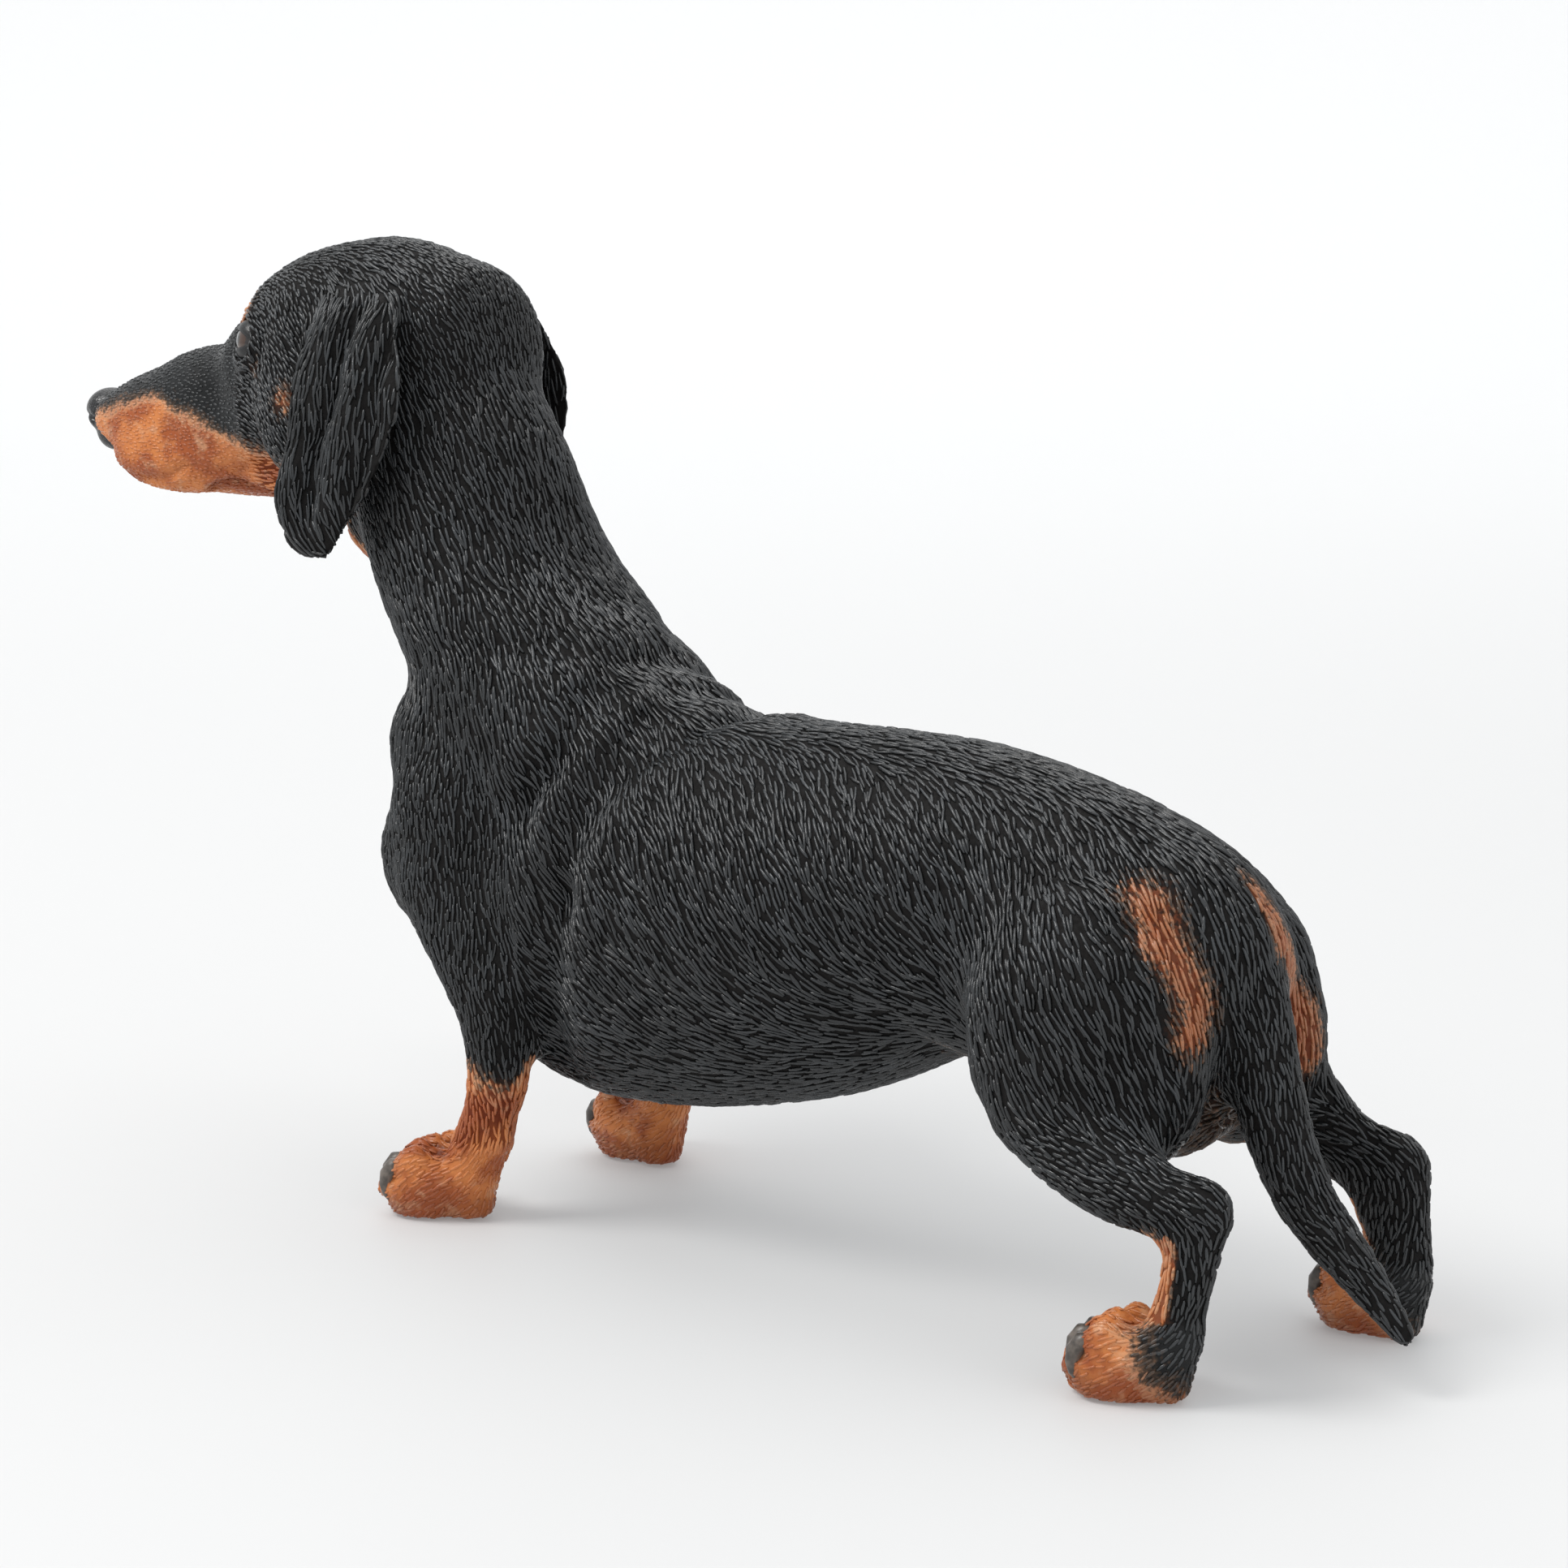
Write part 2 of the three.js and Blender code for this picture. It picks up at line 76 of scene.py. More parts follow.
# Folds carved in the skin: points as the camera sees them, in pixels of a view PHOTO_SIDE wide, then the
# fold's half width and depth. A negative depth raises a ridge. Each is carved on both sides of the dog, with
# a low ridge beside it.
SEEN_FOLDS = (
    ("nape fold", ((932, 875), (841, 908), (766, 950), (708, 1024), (683, 1108)), 1.7, 0.8),
    ("neck ridge", ((791, 866), (735, 925), (675, 1000)), 1.5, -0.75),
    ("neck fold", ((825, 800), (740, 850), (700, 900), (658, 991)), 1.5, 0.5),
    ("collar fold", ((520, 812), (610, 800), (700, 800)), 1.4, 0.25),
    ("elbow crease", ((683, 1108), (676, 1215), (678, 1293)), 2.1, 1.0),
    ("shoulder blade", ((600, 960), (590, 1040), (560, 1110)), 2.0, 0.2),
    ("flank fold", ((1045, 1240), (1100, 1262), (1160, 1292)), 1.4, 0.35),
    ("thigh edge", ((1170, 1080), (1160, 1160), (1168, 1240), (1195, 1305)), 2.6, 0.4),
    ("hamstring", ((1395, 1150), (1400, 1240), (1385, 1330)), 2.0, 0.3),
    ("hock hollow", ((1440, 1440), (1478, 1462), (1500, 1478)), 0.9, 0.35),
)

FOLD_RIDGE_OFFSET = 2.1
FOLD_RIDGE_SHARE = 0.12

# Arch and creases of the left lip as the camera sees them, each with its half width and depth.
SEEN_LIPS = (
    (((262, 603), (270, 597), (284, 594), (299, 596), (316, 603), (334, 606)), 0.45, 0.55),
    (((226, 596), (250, 588), (276, 576)), 0.50, 0.22),
    (((292, 583), (306, 572), (322, 566)), 0.50, 0.20),
)

# Mouth line of one side in the head's own frame.
MOUTH_LINE = (
    (36.0, 1.6, 58.8), (33.4, 3.3, 57.1), (29.0, 4.6, 56.0), (25.2, 5.0, 56.0), (22.6, 5.2, 57.3),
    (20.2, 5.2, 57.2), (17.4, 5.1, 56.4), (14.0, 5.2, 55.9), (10.0, 6.2, 56.4), (7.0, 6.9, 57.8),
)

# Hollows and bumps of one side of the face in the head's own frame: place, radius and depth.
FACE_HOLLOWS = (
    ((13.4, 4.2, 71.0), 1.5, -0.3),
    ((18.5, 5.0, 63.5), 2.2, 0.4),
    ((29.5, 4.8, 58.6), 2.4, -0.25),
    ((16.2, 3.5, 68.6), 1.7, 0.35),
    ((24.0, 5.4, 60.6), 1.3, 0.2),
)
CHEEKBONE = ((14, 6.6, 65.4), (9, 8.2, 65.0), (5, 9, 65.5))
CHEEK_CREASES = (((17, 5.4, 60.2), (21, 5.4, 58.6)), ((14, 5.8, 59.6), (17.5, 5.6, 57.8)))

# Folds that run down each ear: place fore and aft at the ear's middle height, slant, half width and depth.
EAR_MIDDLE = 64
EAR_FOLDS = (
    (0.9, 0.17, 0.8, 0.95),
    (-3.6, 0.11, 0.85, 0.8),
    (-1.2, 0.14, 1.0, -0.5),
    (3.3, 0.1, 1.2, -0.4),
)

# The ear's rim is let out again after smoothing, and its top is sunk and melted into the skull.
EAR_RIM = 0.5
EAR_SINK = 0.6
EAR_TOP = (71.5, 74.0)
EAR_ROOT = ((1.4, 6.4, 75.4), (0.8, 7.8, 73.2))
EAR_ROOT_RADIUS = 2.6
EAR_ROOT_ROUNDS = 90

# The left elbow, the wrist and the pad behind it: place, radius and height. Then the hollow at the hock.
LEG_BUMPS = (
    ((26.8, 11.4, 18.6), 2.2, 0.6),
    ((33.0, 10.9, 8.2), 1.5, 0.3),
    ((28.4, 11.2, 6.6), 1.3, 0.5),
)
HOCK_HOLLOW = ((-36.5, 13.2, 17.0), (-39.6, 12.9, 13.2))

# Upper edge of the tan on the muzzle and cheek, as height over the distance from the head's pivot.
TAN_EDGE_U = (2.0, 8.0, 12.0, 18.0, 22.0, 26.0, 31.0, 36.0, 40.0)
TAN_EDGE_Z = (55.6, 57.4, 58.6, 60.0, 61.6, 62.8, 62.0, 60.8, 60.4)

# Tan stripes on the left and right buttocks as the camera sees them, and their half widths.
SEEN_STRIPES = (
    (((1414, 1110), (1431, 1157), (1458, 1205), (1475, 1240), (1470, 1272)), 1.9),
    (((1539, 1103), (1567, 1144), (1587, 1198), (1601, 1253), (1607, 1293)), 2.2),
)

# Round tan spots: place in the head's own frame for one side, radius and strength.
HEAD_SPOTS = (((14.6, 4.2, 70.4), 1.8, 0.8), ((12.0, 6.6, 66.0), 0.8, 0.7), ((7.6, 8.8, 63.4), 1.5, 0.55))
BODY_SPOTS = (((45.5, 4.2, 29.5), 2.6),)

# Heights that the tan reaches on the legs, how much further it runs up the inside of a foreleg and the front
# of a hind leg, where it ends on the left and right hind paws, and the brown under the tail.
FORELEG_TAN = 12.4
FORELEG_TAN_INSIDE = 3.5
HINDLEG_TAN = 4.5
HINDLEG_TAN_FRONT = 9.0
HINDPAW_TAN_END = (-36.9, -39.6)
SEAT = (-33.5, 0, 17.0)

# The paws as the solids have them: kind, ankle x, side, turn, length and half width.
PAWS = (
    ("fore", 31.0, 1, 16, 8.0, 4.0),
    ("fore", 32.2, -1, 16, 8.0, 4.0),
    ("hind", -38.2, 1, 13, 7.2, 3.8),
    ("hind", -41.3, -1, 13, 7.2, 3.8),
)
STANCE = {"fore": 10.9, "hind": 11.3}
TOE_SPREAD = (-0.72, -0.25, 0.25, 0.72)
TOE_CLEFTS = (-0.49, 0.0, 0.49)

# Carved hair by region: its spacing along and across its lie, then its length, half width and height.
HAIR = {
    "body": (0.95, 0.305, 2.0, 0.170, 0.20),
    "leg": (0.82, 0.290, 1.5, 0.155, 0.17),
    "ear": (1.00, 0.300, 2.2, 0.165, 0.19),
    "head": (0.62, 0.275, 1.15, 0.150, 0.16),
    "face": (0.42, 0.270, 0.55, 0.120, 0.08),
    "paw": (0.72, 0.340, 1.2, 0.150, 0.11),
}
CANDIDATES_PER_HAIR = 12
HAIR_SINK = 0.06
HAIRS_PER_PIECE = 6200
SEED = 7

# Specular levels: the skin between the hairs shines less than their crests.
HAIR_SHINE = 0.5
SKIN_SHINE = 0.22

# How far the first smoothing moves each region of the skin, against 1 for the body.
GIVE = {"paw": 0.10, "tail": 0.45, "head": 0.35, "lower_jaw": 0.35}
EAR_GIVE = (0.2, 0.6)

# Backdrop in metres: a level floor that bends up into a wall, and the light that it gives off itself.
BACKDROP_NEAR = -1.2
BACKDROP_BEND = 0.75
BACKDROP_RADIUS = 0.5
BACKDROP_TOP = 2.2
BACKDROP_HALF_WIDTH = 2.4
BACKDROP_GLOW = 0.25
SENSOR_WIDTH = 36


# Frames and small geometry.


def to_row(points):
    return (np.asarray(points) + PAW_MIDDLE) / 1000


def to_dog(points):
    return np.asarray(points) * 1000 - PAW_MIDDLE


def to_head(points):
    """Head's own frame: forward of its pivot, to its left, and height."""
    x = points[..., 0] - HEAD_PIVOT_X
    y = points[..., 1]
    c, s = math.cos(HEAD_YAW), math.sin(HEAD_YAW)
    return np.stack([x * c + y * s, y * c - x * s, points[..., 2]], -1)


def from_head(points):
    points = np.asarray(points, float)
    u, v = points[..., 0], points[..., 1]
    c, s = math.cos(HEAD_YAW), math.sin(HEAD_YAW)
    return np.stack([HEAD_PIVOT_X + u * c - v * s, u * s + v * c, points[..., 2]], -1)


def unit(vectors):
    return vectors / np.maximum(np.linalg.norm(vectors, axis=-1, keepdims=True), 1e-9)


def smooth_step(low, high, value):
    t = np.clip((value - low) / (high - low), 0, 1)
    return t * t * (3 - 2 * t)


def bell(distance, width):
    return np.exp(-((distance / width) ** 2))


def ripple(points, size, seed):
    """Smooth noise between about -1 and 1, with features of about the given size in millimetres."""
    rng = np.random.default_rng(seed)
    total = np.zeros(len(points))
    for _ in range(7):
        way = unit(rng.normal(size=3)) * rng.uniform(0.7, 1.4) * 2 * math.pi / size
        total += np.sin(points @ way + rng.uniform(0, 6.28))
    return total / 3.5


def distance_to_line(points, line):
    line = np.asarray(line, float)
    nearest = np.full(len(points), 1e9)
    for a, b in zip(line[:-1], line[1:]):
        ab = b - a
        t = np.clip((points - a) @ ab / (ab @ ab), 0, 1)
        nearest = np.minimum(nearest, np.linalg.norm(points - a - t[:, None] * ab, axis=1))
    return nearest


def camera_axes():
    forward = CAMERA_AIM / np.linalg.norm(CAMERA_AIM)
    right = unit(np.cross(forward, [0, 0, 1.0]))
    return forward, right, np.cross(right, forward)


def seen_on(tree, pixels):
    """Points of a surface, in the dog's frame, that the camera sees at those pixels."""
    forward, right, up = camera_axes()
    found = []
    for x, y in pixels:
        across, down = (x - PHOTO_SIDE / 2) / FOCAL_PIXELS, (y - PHOTO_SIDE / 2) / FOCAL_PIXELS
        ray = forward + across * right - down * up
        hit = tree.ray_cast(Vector(CAMERA_PLACE), Vector(unit(ray)))[0]
        if hit is not None:
            found.append(np.array(hit))
    return found


def mirrored(line):
    return [np.array(p) * (1, -1, 1) for p in line]


def mirrored_head(line):
    return from_head(to_head(np.array(line)) * (1, -1, 1))


def make_mesh(name, points, faces, smooth=True):
    """Mesh in the row frame from points in the dog's frame and faces that all have as many corners."""
    faces = np.asarray(faces, np.int32)
    mesh = bpy.data.meshes.new(name)
    mesh.vertices.add(len(points))
    mesh.vertices.foreach_set("co", to_row(points).astype(np.float32).ravel())
    mesh.loops.add(faces.size)
    mesh.loops.foreach_set("vertex_index", faces.ravel())
    mesh.polygons.add(len(faces))
    mesh.polygons.foreach_set("loop_start", np.arange(len(faces), dtype=np.int32) * faces.shape[1])
    mesh.polygons.foreach_set("use_smooth", np.full(len(faces), smooth))
    mesh.update(calc_edges=True)
    return mesh


def add_object(name, mesh):
    obj = bpy.data.objects.new(name, mesh)
    bpy.context.scene.collection.objects.link(obj)
    return obj


def set_values(mesh, name, values):
    attribute = mesh.attributes.get(name) or mesh.attributes.new(name, "FLOAT", "POINT")
    attribute.data.foreach_set("value", np.asarray(values, np.float32))


def get_values(mesh, name):
    values = np.zeros(len(mesh.vertices), np.float32)
    mesh.attributes[name].data.foreach_get("value", values)
    return values


def dress(obj, material):
    obj.data.materials.clear()
    obj.data.materials.append(material)
    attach(obj, "root")


class Surface:
    """A quad mesh held as arrays, in the dog's frame."""

    def __init__(self, mesh):
        count = len(mesh.vertices)
        points = np.zeros(count * 3)
        mesh.vertices.foreach_get("co", points)
        self.points = to_dog(points.reshape(-1, 3))
        corners = np.zeros(len(mesh.loops), np.int32)
        mesh.loops.foreach_get("vertex_index", corners)
        self.faces = corners.reshape(-1, 4)
        edges = np.zeros(len(mesh.edges) * 2, np.int32)
        mesh.edges.foreach_get("vertices", edges)
        self.edges = edges.reshape(-1, 2)
        self.valence = np.maximum(np.bincount(self.edges.ravel(), minlength=count), 1)

    def around(self, values):
        """Mean of each vertex's neighbours."""
        a, b = self.edges.T
        flat = values.reshape(len(values), -1)
        total = np.empty_like(flat)
        for column in range(flat.shape[1]):
            total[:, column] = np.bincount(a, flat[b, column], len(flat))
            total[:, column] += np.bincount(b, flat[a, column], len(flat))
        return (total / self.valence[:, None]).reshape(values.shape)

    def spread(self, values, rounds):
        for _ in range(rounds):
            values = 0.5 * values + 0.5 * self.around(values)
        return values

    def normals(self):
        p = self.points[self.faces]
        across = np.cross(p[:, 2] - p[:, 0], p[:, 3] - p[:, 1])
        total = np.zeros_like(self.points)
        for corner in range(4):
            for axis in range(3):
                total[:, axis] += np.bincount(self.faces[:, corner], across[:, axis], len(total))
        return unit(total)

    def push(self, amount):
        self.points = self.points + self.normals() * np.asarray(amount).reshape(-1, 1)

    def relax(self, rounds, give):
        """Evens out facets and then gives the broad form its size back."""
        before = self.points.copy()
        for _ in range(rounds):
            self.points = self.points + 0.5 * give[:, None] * (self.around(self.points) - self.points)
        lost = np.sum((before - self.points) * self.normals(), axis=1)
        self.push(self.spread(lost, 40))

    def tree(self):
        return BVHTree.FromPolygons(self.points.tolist(), self.faces.tolist())


# Skin.


def swollen_parts(swell):
    """The flesh nodes in one mesh, each grown until it meets its neighbours, and each face's node."""
    whole = bmesh.new()
    numbers = []
    for number, name in enumerate(FLESH):
        part = bmesh.new()
        part.from_mesh(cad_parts[name].data)
        bmesh.ops.remove_doubles(part, verts=part.verts, dist=1e-6)
        part.normal_update()
        moves = [v.normal * swell / 1000 for v in part.verts]
        for v, move in zip(part.verts, moves):
            v.co += move
        mesh = bpy.data.meshes.new("part")
        part.to_mesh(mesh)
        part.free()
        whole.from_mesh(mesh)
        bpy.data.meshes.remove(mesh)
        numbers += [number] * (len(whole.faces) - len(numbers))
    mesh = bpy.data.meshes.new("flesh")
    whole.to_mesh(mesh)
    whole.free()
    return mesh, np.array(numbers)


def node_numbers(mesh, numbers, points):
    """For each point, the number of the node that it lies nearest."""
    corners = to_dog([v.co for v in mesh.vertices])
    tree = BVHTree.FromPolygons(corners.tolist(), [list(p.vertices) for p in mesh.polygons])
    return np.array([numbers[tree.find_nearest(Vector(p))[2]] for p in points])


def is_part(part, *words):
    wanted = [i for i, name in enumerate(FLESH) if any(w in name for w in words)]
    return np.isin(part, wanted)


def carve(surface, part):
    """Folds, lips, lids, ear folds, toes and the hollows of the legs."""
    tree = surface.tree()
    depth = np.zeros(len(surface.points))
    for _, pixels, width, amount in SEEN_FOLDS:
        line = seen_on(tree, pixels)
        for side in (line, mirrored(line)):
            near = distance_to_line(surface.points, side)
            depth += amount * bell(near, width)
            depth -= FOLD_RIDGE_SHARE * amount * bell(near - FOLD_RIDGE_OFFSET * width, width)
    for pixels, width, amount in SEEN_LIPS:
        line = seen_on(tree, pixels)
        for side in (line, mirrored_head(line)):
            near = distance_to_line(surface.points, side)
            depth += amount * bell(near, width)
    depth += carve_head(surface, part) + carve_ears(surface, part) + carve_paws(surface, part)
    for side in (1, -1):
        hollow = distance_to_line(surface.points, np.array(HOCK_HOLLOW) * (1, side, 1))
        depth += 0.3 * bell(hollow, 0.8)
        for place, radius, height in LEG_BUMPS:
            near = np.linalg.norm(surface.points - np.array(place) * (1, side, 1), axis=1)
            depth -= height * bell(near, radius)
    depth -= 0.1 * ripple(surface.points, 16, 3) * is_part(part, "torso", "neck", "hindleg", "foreleg")
    surface.push(-depth)


def carve_head(surface, part):
    head = to_head(surface.points)
    u, v, z = head.T
    upward = surface.normals()[:, 2]
    depth = np.zeros(len(u))
    for side in (1, -1):
        near = distance_to_line(head, np.array(MOUTH_LINE) * (1, side, 1))
        depth += 0.75 * bell(near, 0.42) - 0.14 * bell(near - 1.15, 0.5)
        eye = np.linalg.norm(head - EYE_PLACE * (1, side, 1), axis=1)
        depth -= 0.3 * bell(eye - 2.35, 0.4)
        depth += 0.4 * bell(eye - 3.5, 0.9) * smooth_step(70.5, 68.5, z)
        for place, width, amount in FACE_HOLLOWS:
            near = np.linalg.norm(head - np.array(place) * (1, side, 1), axis=1)
            depth += amount * bell(near, width)
        cheekbone = distance_to_line(head, np.array(CHEEKBONE) * (1, side, 1))
        depth -= 0.35 * bell(cheekbone, 1.2)
        for ends in CHEEK_CREASES:
            crease = distance_to_line(head, np.array(ends) * (1, side, 1))
            depth += 0.2 * bell(crease, 0.45)
    furrow = bell(v, 1.1) * smooth_step(19, 15, u) * smooth_step(4, 9, u) * (z > 66)
    bridge = bell(v, 3.0) * smooth_step(17, 20, u) * smooth_step(35, 31, u) * (upward > 0.3)
    depth += 0.35 * furrow - 0.3 * bridge
    return depth * is_part(part, "head", "jaw")


def carve_ears(surface, part):
    """Valleys and ridges that run down each ear like the folds of a hanging cloth."""
    u, v, z = to_head(surface.points).T
    outward = smooth_step(0.1, 0.5, np.sign(v) * (surface.normals() @ from_head_way([0, 1, 0])))
    reach = smooth_step(53.0, 56.5, z) * smooth_step(73.5, 70.0, z)
    depth = np.zeros(len(u))
    for middle, slant, width, amount in EAR_FOLDS:
        near = u - middle - slant * (EAR_MIDDLE - z) - 0.4 * np.sin(0.75 * z + middle)
        depth += amount * bell(near, width)
    rim = smooth_step(0.45, 0.9, np.abs(surface.normals() @ from_head_way([1, 0, 0])))
    depth = depth * outward - EAR_RIM * rim
    sunk = EAR_SINK * smooth_step(*EAR_TOP, z)
    return surface.spread((depth * reach + sunk) * is_part(part, "ear_"), 3)


def melt_ear_roots(surface, part):
    """The top of each ear runs into the skull without a step."""
    blurred = surface.spread(surface.points, EAR_ROOT_ROUNDS)
    head = to_head(surface.points)
    melt = np.zeros(len(head))
    for side in (1, -1):
        root = distance_to_line(head, np.array(EAR_ROOT) * (1, side, 1))
        melt = np.maximum(melt, bell(root, EAR_ROOT_RADIUS))
    melt = (melt * is_part(part, "ear_", "head", "neck"))[:, None]
    surface.points = surface.points + melt * (blurred - surface.points)


def carve_paws(surface, part):
    """Clefts between the toes, a knuckle on each and a dip behind them."""
    depth = np.zeros(len(surface.points))
    z = surface.points[:, 2]
    for kind, ankle, side, turn, long, wide in PAWS:
        mine = is_part(part, "paw") & (np.sign(surface.points[:, 1]) == side)
        mine &= (surface.points[:, 0] > 0) == (kind == "fore")
        x = surface.points[:, 0] - ankle
        y = surface.points[:, 1] * side - STANCE[kind]
        c, s = math.cos(math.radians(turn)), math.sin(math.radians(turn))
        along, across = (x * c + y * s) / long, (y * c - x * s) / wide
        here = np.zeros(len(z))
        for cleft in TOE_CLEFTS:
            near = (across - cleft * (0.75 + 0.25 * along)) * wide / 0.42
            here += 0.85 * bell(near, 1) * smooth_step(0.32, 0.55, along) * smooth_step(0.2, 0.9, z)
        for toe in TOE_SPREAD:
            middle = 0.66 - 0.2 * toe**2
            near = np.hypot((along - middle) * long, (across - toe) * wide)
            here -= 0.45 * bell(near, 1.0) * smooth_step(3.5, 4.8, z)
            near = np.hypot((along - middle - 0.2) * long, z - 3.4)
            here += 0.2 * bell(near, 0.5)
        here += 0.5 * bell((along - 0.34) * long, 1.0) * smooth_step(3.4, 4.6, z)
        depth += here * mine
    return depth


def from_head_way(direction):
    return from_head(np.array(direction, float)) - from_head(np.zeros(3))


def paint(surface, part):
    """How tan each point of the coat is, and how far it is darkened towards brown, both from 0 to 1."""
    points, tree = surface.points, surface.tree()
    normal = surface.normals()
    x, y, z = points.T
    head = to_head(points)
    u = head[:, 0]
    wander = 0.7 * ripple(points, 5, 11) + 0.35 * ripple(points, 1.6, 12)
    tan = np.zeros(len(points))
    brown_darkening = np.zeros(len(points))

    def add(mask, value):
        nonlocal tan
        tan = np.maximum(tan, np.where(mask, value, 0))

    on_head = is_part(part, "head", "jaw")
    edge = np.interp(u, TAN_EDGE_U, TAN_EDGE_Z) + 0.5 * wander
    add(on_head, smooth_step(2.0, -2.0, z - edge) * smooth_step(0, 4, u))
    arch = seen_on(tree, SEEN_LIPS[0][0])
    for side, lip_arch in ((1, arch), (-1, mirrored_head(arch))):
        near = distance_to_line(head, np.array(MOUTH_LINE) * (1, side, 1))
        near = np.minimum(near, distance_to_line(points, lip_arch))
        brown_darkening = np.maximum(brown_darkening, bell(near, 0.45) * on_head)
    for place, radius, strength in HEAD_SPOTS:
        for side in (1, -1):
            near = np.linalg.norm(head - np.array(place) * (1, side, 1), axis=1)
            add(on_head, strength * smooth_step(radius + 1.1, radius - 1.1, near + 0.6 * wander))
    for place, radius in BODY_SPOTS:
        for side in (1, -1):
            near = np.linalg.norm(points - np.array(place) * (1, side, 1), axis=1)
            spot = smooth_step(radius + 1.8, radius - 1.6, near + 1.5 * wander)
            add(is_part(part, "torso", "foreleg"), 0.8 * spot)
    throat = smooth_step(1.4, 4.0, 7.6 - np.abs(y) + 0.5 * wander) * smooth_step(46, 50, z)
    add(is_part(part, "neck"), throat * smooth_step(0.2, 0.6, normal[:, 0] - 0.3 * normal[:, 2]))
    inner = -np.sign(y) * normal[:, 1]
    inside = FORELEG_TAN_INSIDE * smooth_step(0.1, 0.8, inner)
    fore = FORELEG_TAN + 1.0 * wander + inside + 1.0 * normal[:, 0]
    add(is_part(part, "foreleg"), smooth_step(2.2, -2.2, z - fore))
    add(is_part(part, "forepaw"), 1.0)
    front = smooth_step(0.2, 0.9, normal[:, 0] + 0.55 * (y > 0))
    hind = HINDLEG_TAN + 0.8 * wander + HINDLEG_TAN_FRONT * front
    add(is_part(part, "hindleg") & (x < -34), 0.75 * smooth_step(2.6, -2.6, z - hind))
    toes = np.where(y > 0, *HINDPAW_TAN_END)
    add(is_part(part, "hindpaw"), smooth_step(-3.0, 3.0, x - toes + 0.5 * wander + 0.5 * (4 - z)))
    for side, (pixels, width) in zip((1, -1), SEEN_STRIPES):
        line = seen_on(tree, pixels)
        near = distance_to_line(points, line) + 0.45 * wander
        stripe = smooth_step(width + 1.6, width - 1.9, near) * (y * side > 0.5)
        add(is_part(part, "torso", "hindleg"), 0.68 * stripe)
        brown_darkening = np.maximum(brown_darkening, 0.75 * stripe)
    seat = np.linalg.norm((points - np.array(SEAT)) / (1.4, 1.0, 1.0), axis=1)
    add(is_part(part, "torso", "hindleg"), 0.30 * smooth_step(6.5, 3.0, seat))
    groin = smooth_step(-17, -21, x) * smooth_step(0.2, 0.8, inner) * smooth_step(21, 17, z)
    add(is_part(part, "torso", "hindleg") & (x > -30), 0.4 * groin)
    belly = smooth_step(-0.75, -0.95, normal[:, 2]) * smooth_step(-6, -14, x)
    add(is_part(part, "torso"), 0.35 * belly)
    # The paws are darker towards the floor.
    sole = smooth_step(3.0, 0.9, z + 0.8 * wander) * is_part(part, "paw")
    brown_darkening = np.maximum(brown_darkening, 0.7 * sole)
    return surface.spread(tan, 2), surface.spread(brown_darkening, 2)


def lie_of_hair(surface, part):
    """The way the carved hair runs, along the surface."""
    points = surface.points
    x, z = points[:, 0], points[:, 2]
    u, v, _ = to_head(points).T
    lie = np.tile([-1.0, 0.0, -0.6], (len(points), 1))

    def lay(mask, way):
        way = np.broadcast_to(np.asarray(way, float), (len(points), 3))
        lie[mask] = unit(way)[mask]

    upward = surface.spread(surface.normals(), 6)[:, 2]
    fall = 0.1 + 1.25 * smooth_step(0.99, 0.8, upward) * smooth_step(-0.85, 0.2, upward)
    fall = fall * (1 + 0.9 * smooth_step(24, 34, x) + 0.7 * smooth_step(-16, -26, x))
    fall = fall + 1.1 * smooth_step(24, 31, x)
    lay(is_part(part, "torso"), np.stack([-np.ones(len(x)), 0 * x, -fall], -1))
    lay(is_part(part, "neck"), (-0.5, 0, -0.87))
    back = from_head_way([-1, 0, 0])
    drop = 0.15 + 0.9 * smooth_step(3, 8, np.abs(v)) * smooth_step(20, 8, u) + 0.8 * smooth_step(6, -4, u)
    crown = is_part(part, "head", "jaw") | (is_part(part, "ear_") & (z > EAR_TOP[0]))
    lay(crown, back + np.stack([0 * x, 0 * x, -drop], -1))
    curl = -0.9 * smooth_step(57, 53, z) + 0.25 * smooth_step(66, 71, z)
    lay(is_part(part, "ear_") & ~crown, np.stack([curl, 0 * x, -np.ones(len(x))], -1))
    lay(is_part(part, "foreleg"), (-0.2, 0, -1))
    lay(is_part(part, "paw"), (1, 0, -0.5))
    hind = is_part(part, "hindleg")
    lay(hind, (-0.6, 0, -1))
    lay(hind & (z < 18.5) & (x < -26), (-1, 0, -0.3))
    lay(hind & (z < 12.5), (0.05, 0, -1))
    lay(is_part(part, "tail"), (-0.25, 0, -1))
    lay(is_part(part, "tail") & (z < 13), (-0.75, 0, -0.66))
    normal = surface.normals()
    for rounds in (14, 14, 4):
        lie = surface.spread(lie, rounds)
        lie = unit(lie - normal * np.sum(lie * normal, axis=1, keepdims=True))
    return lie


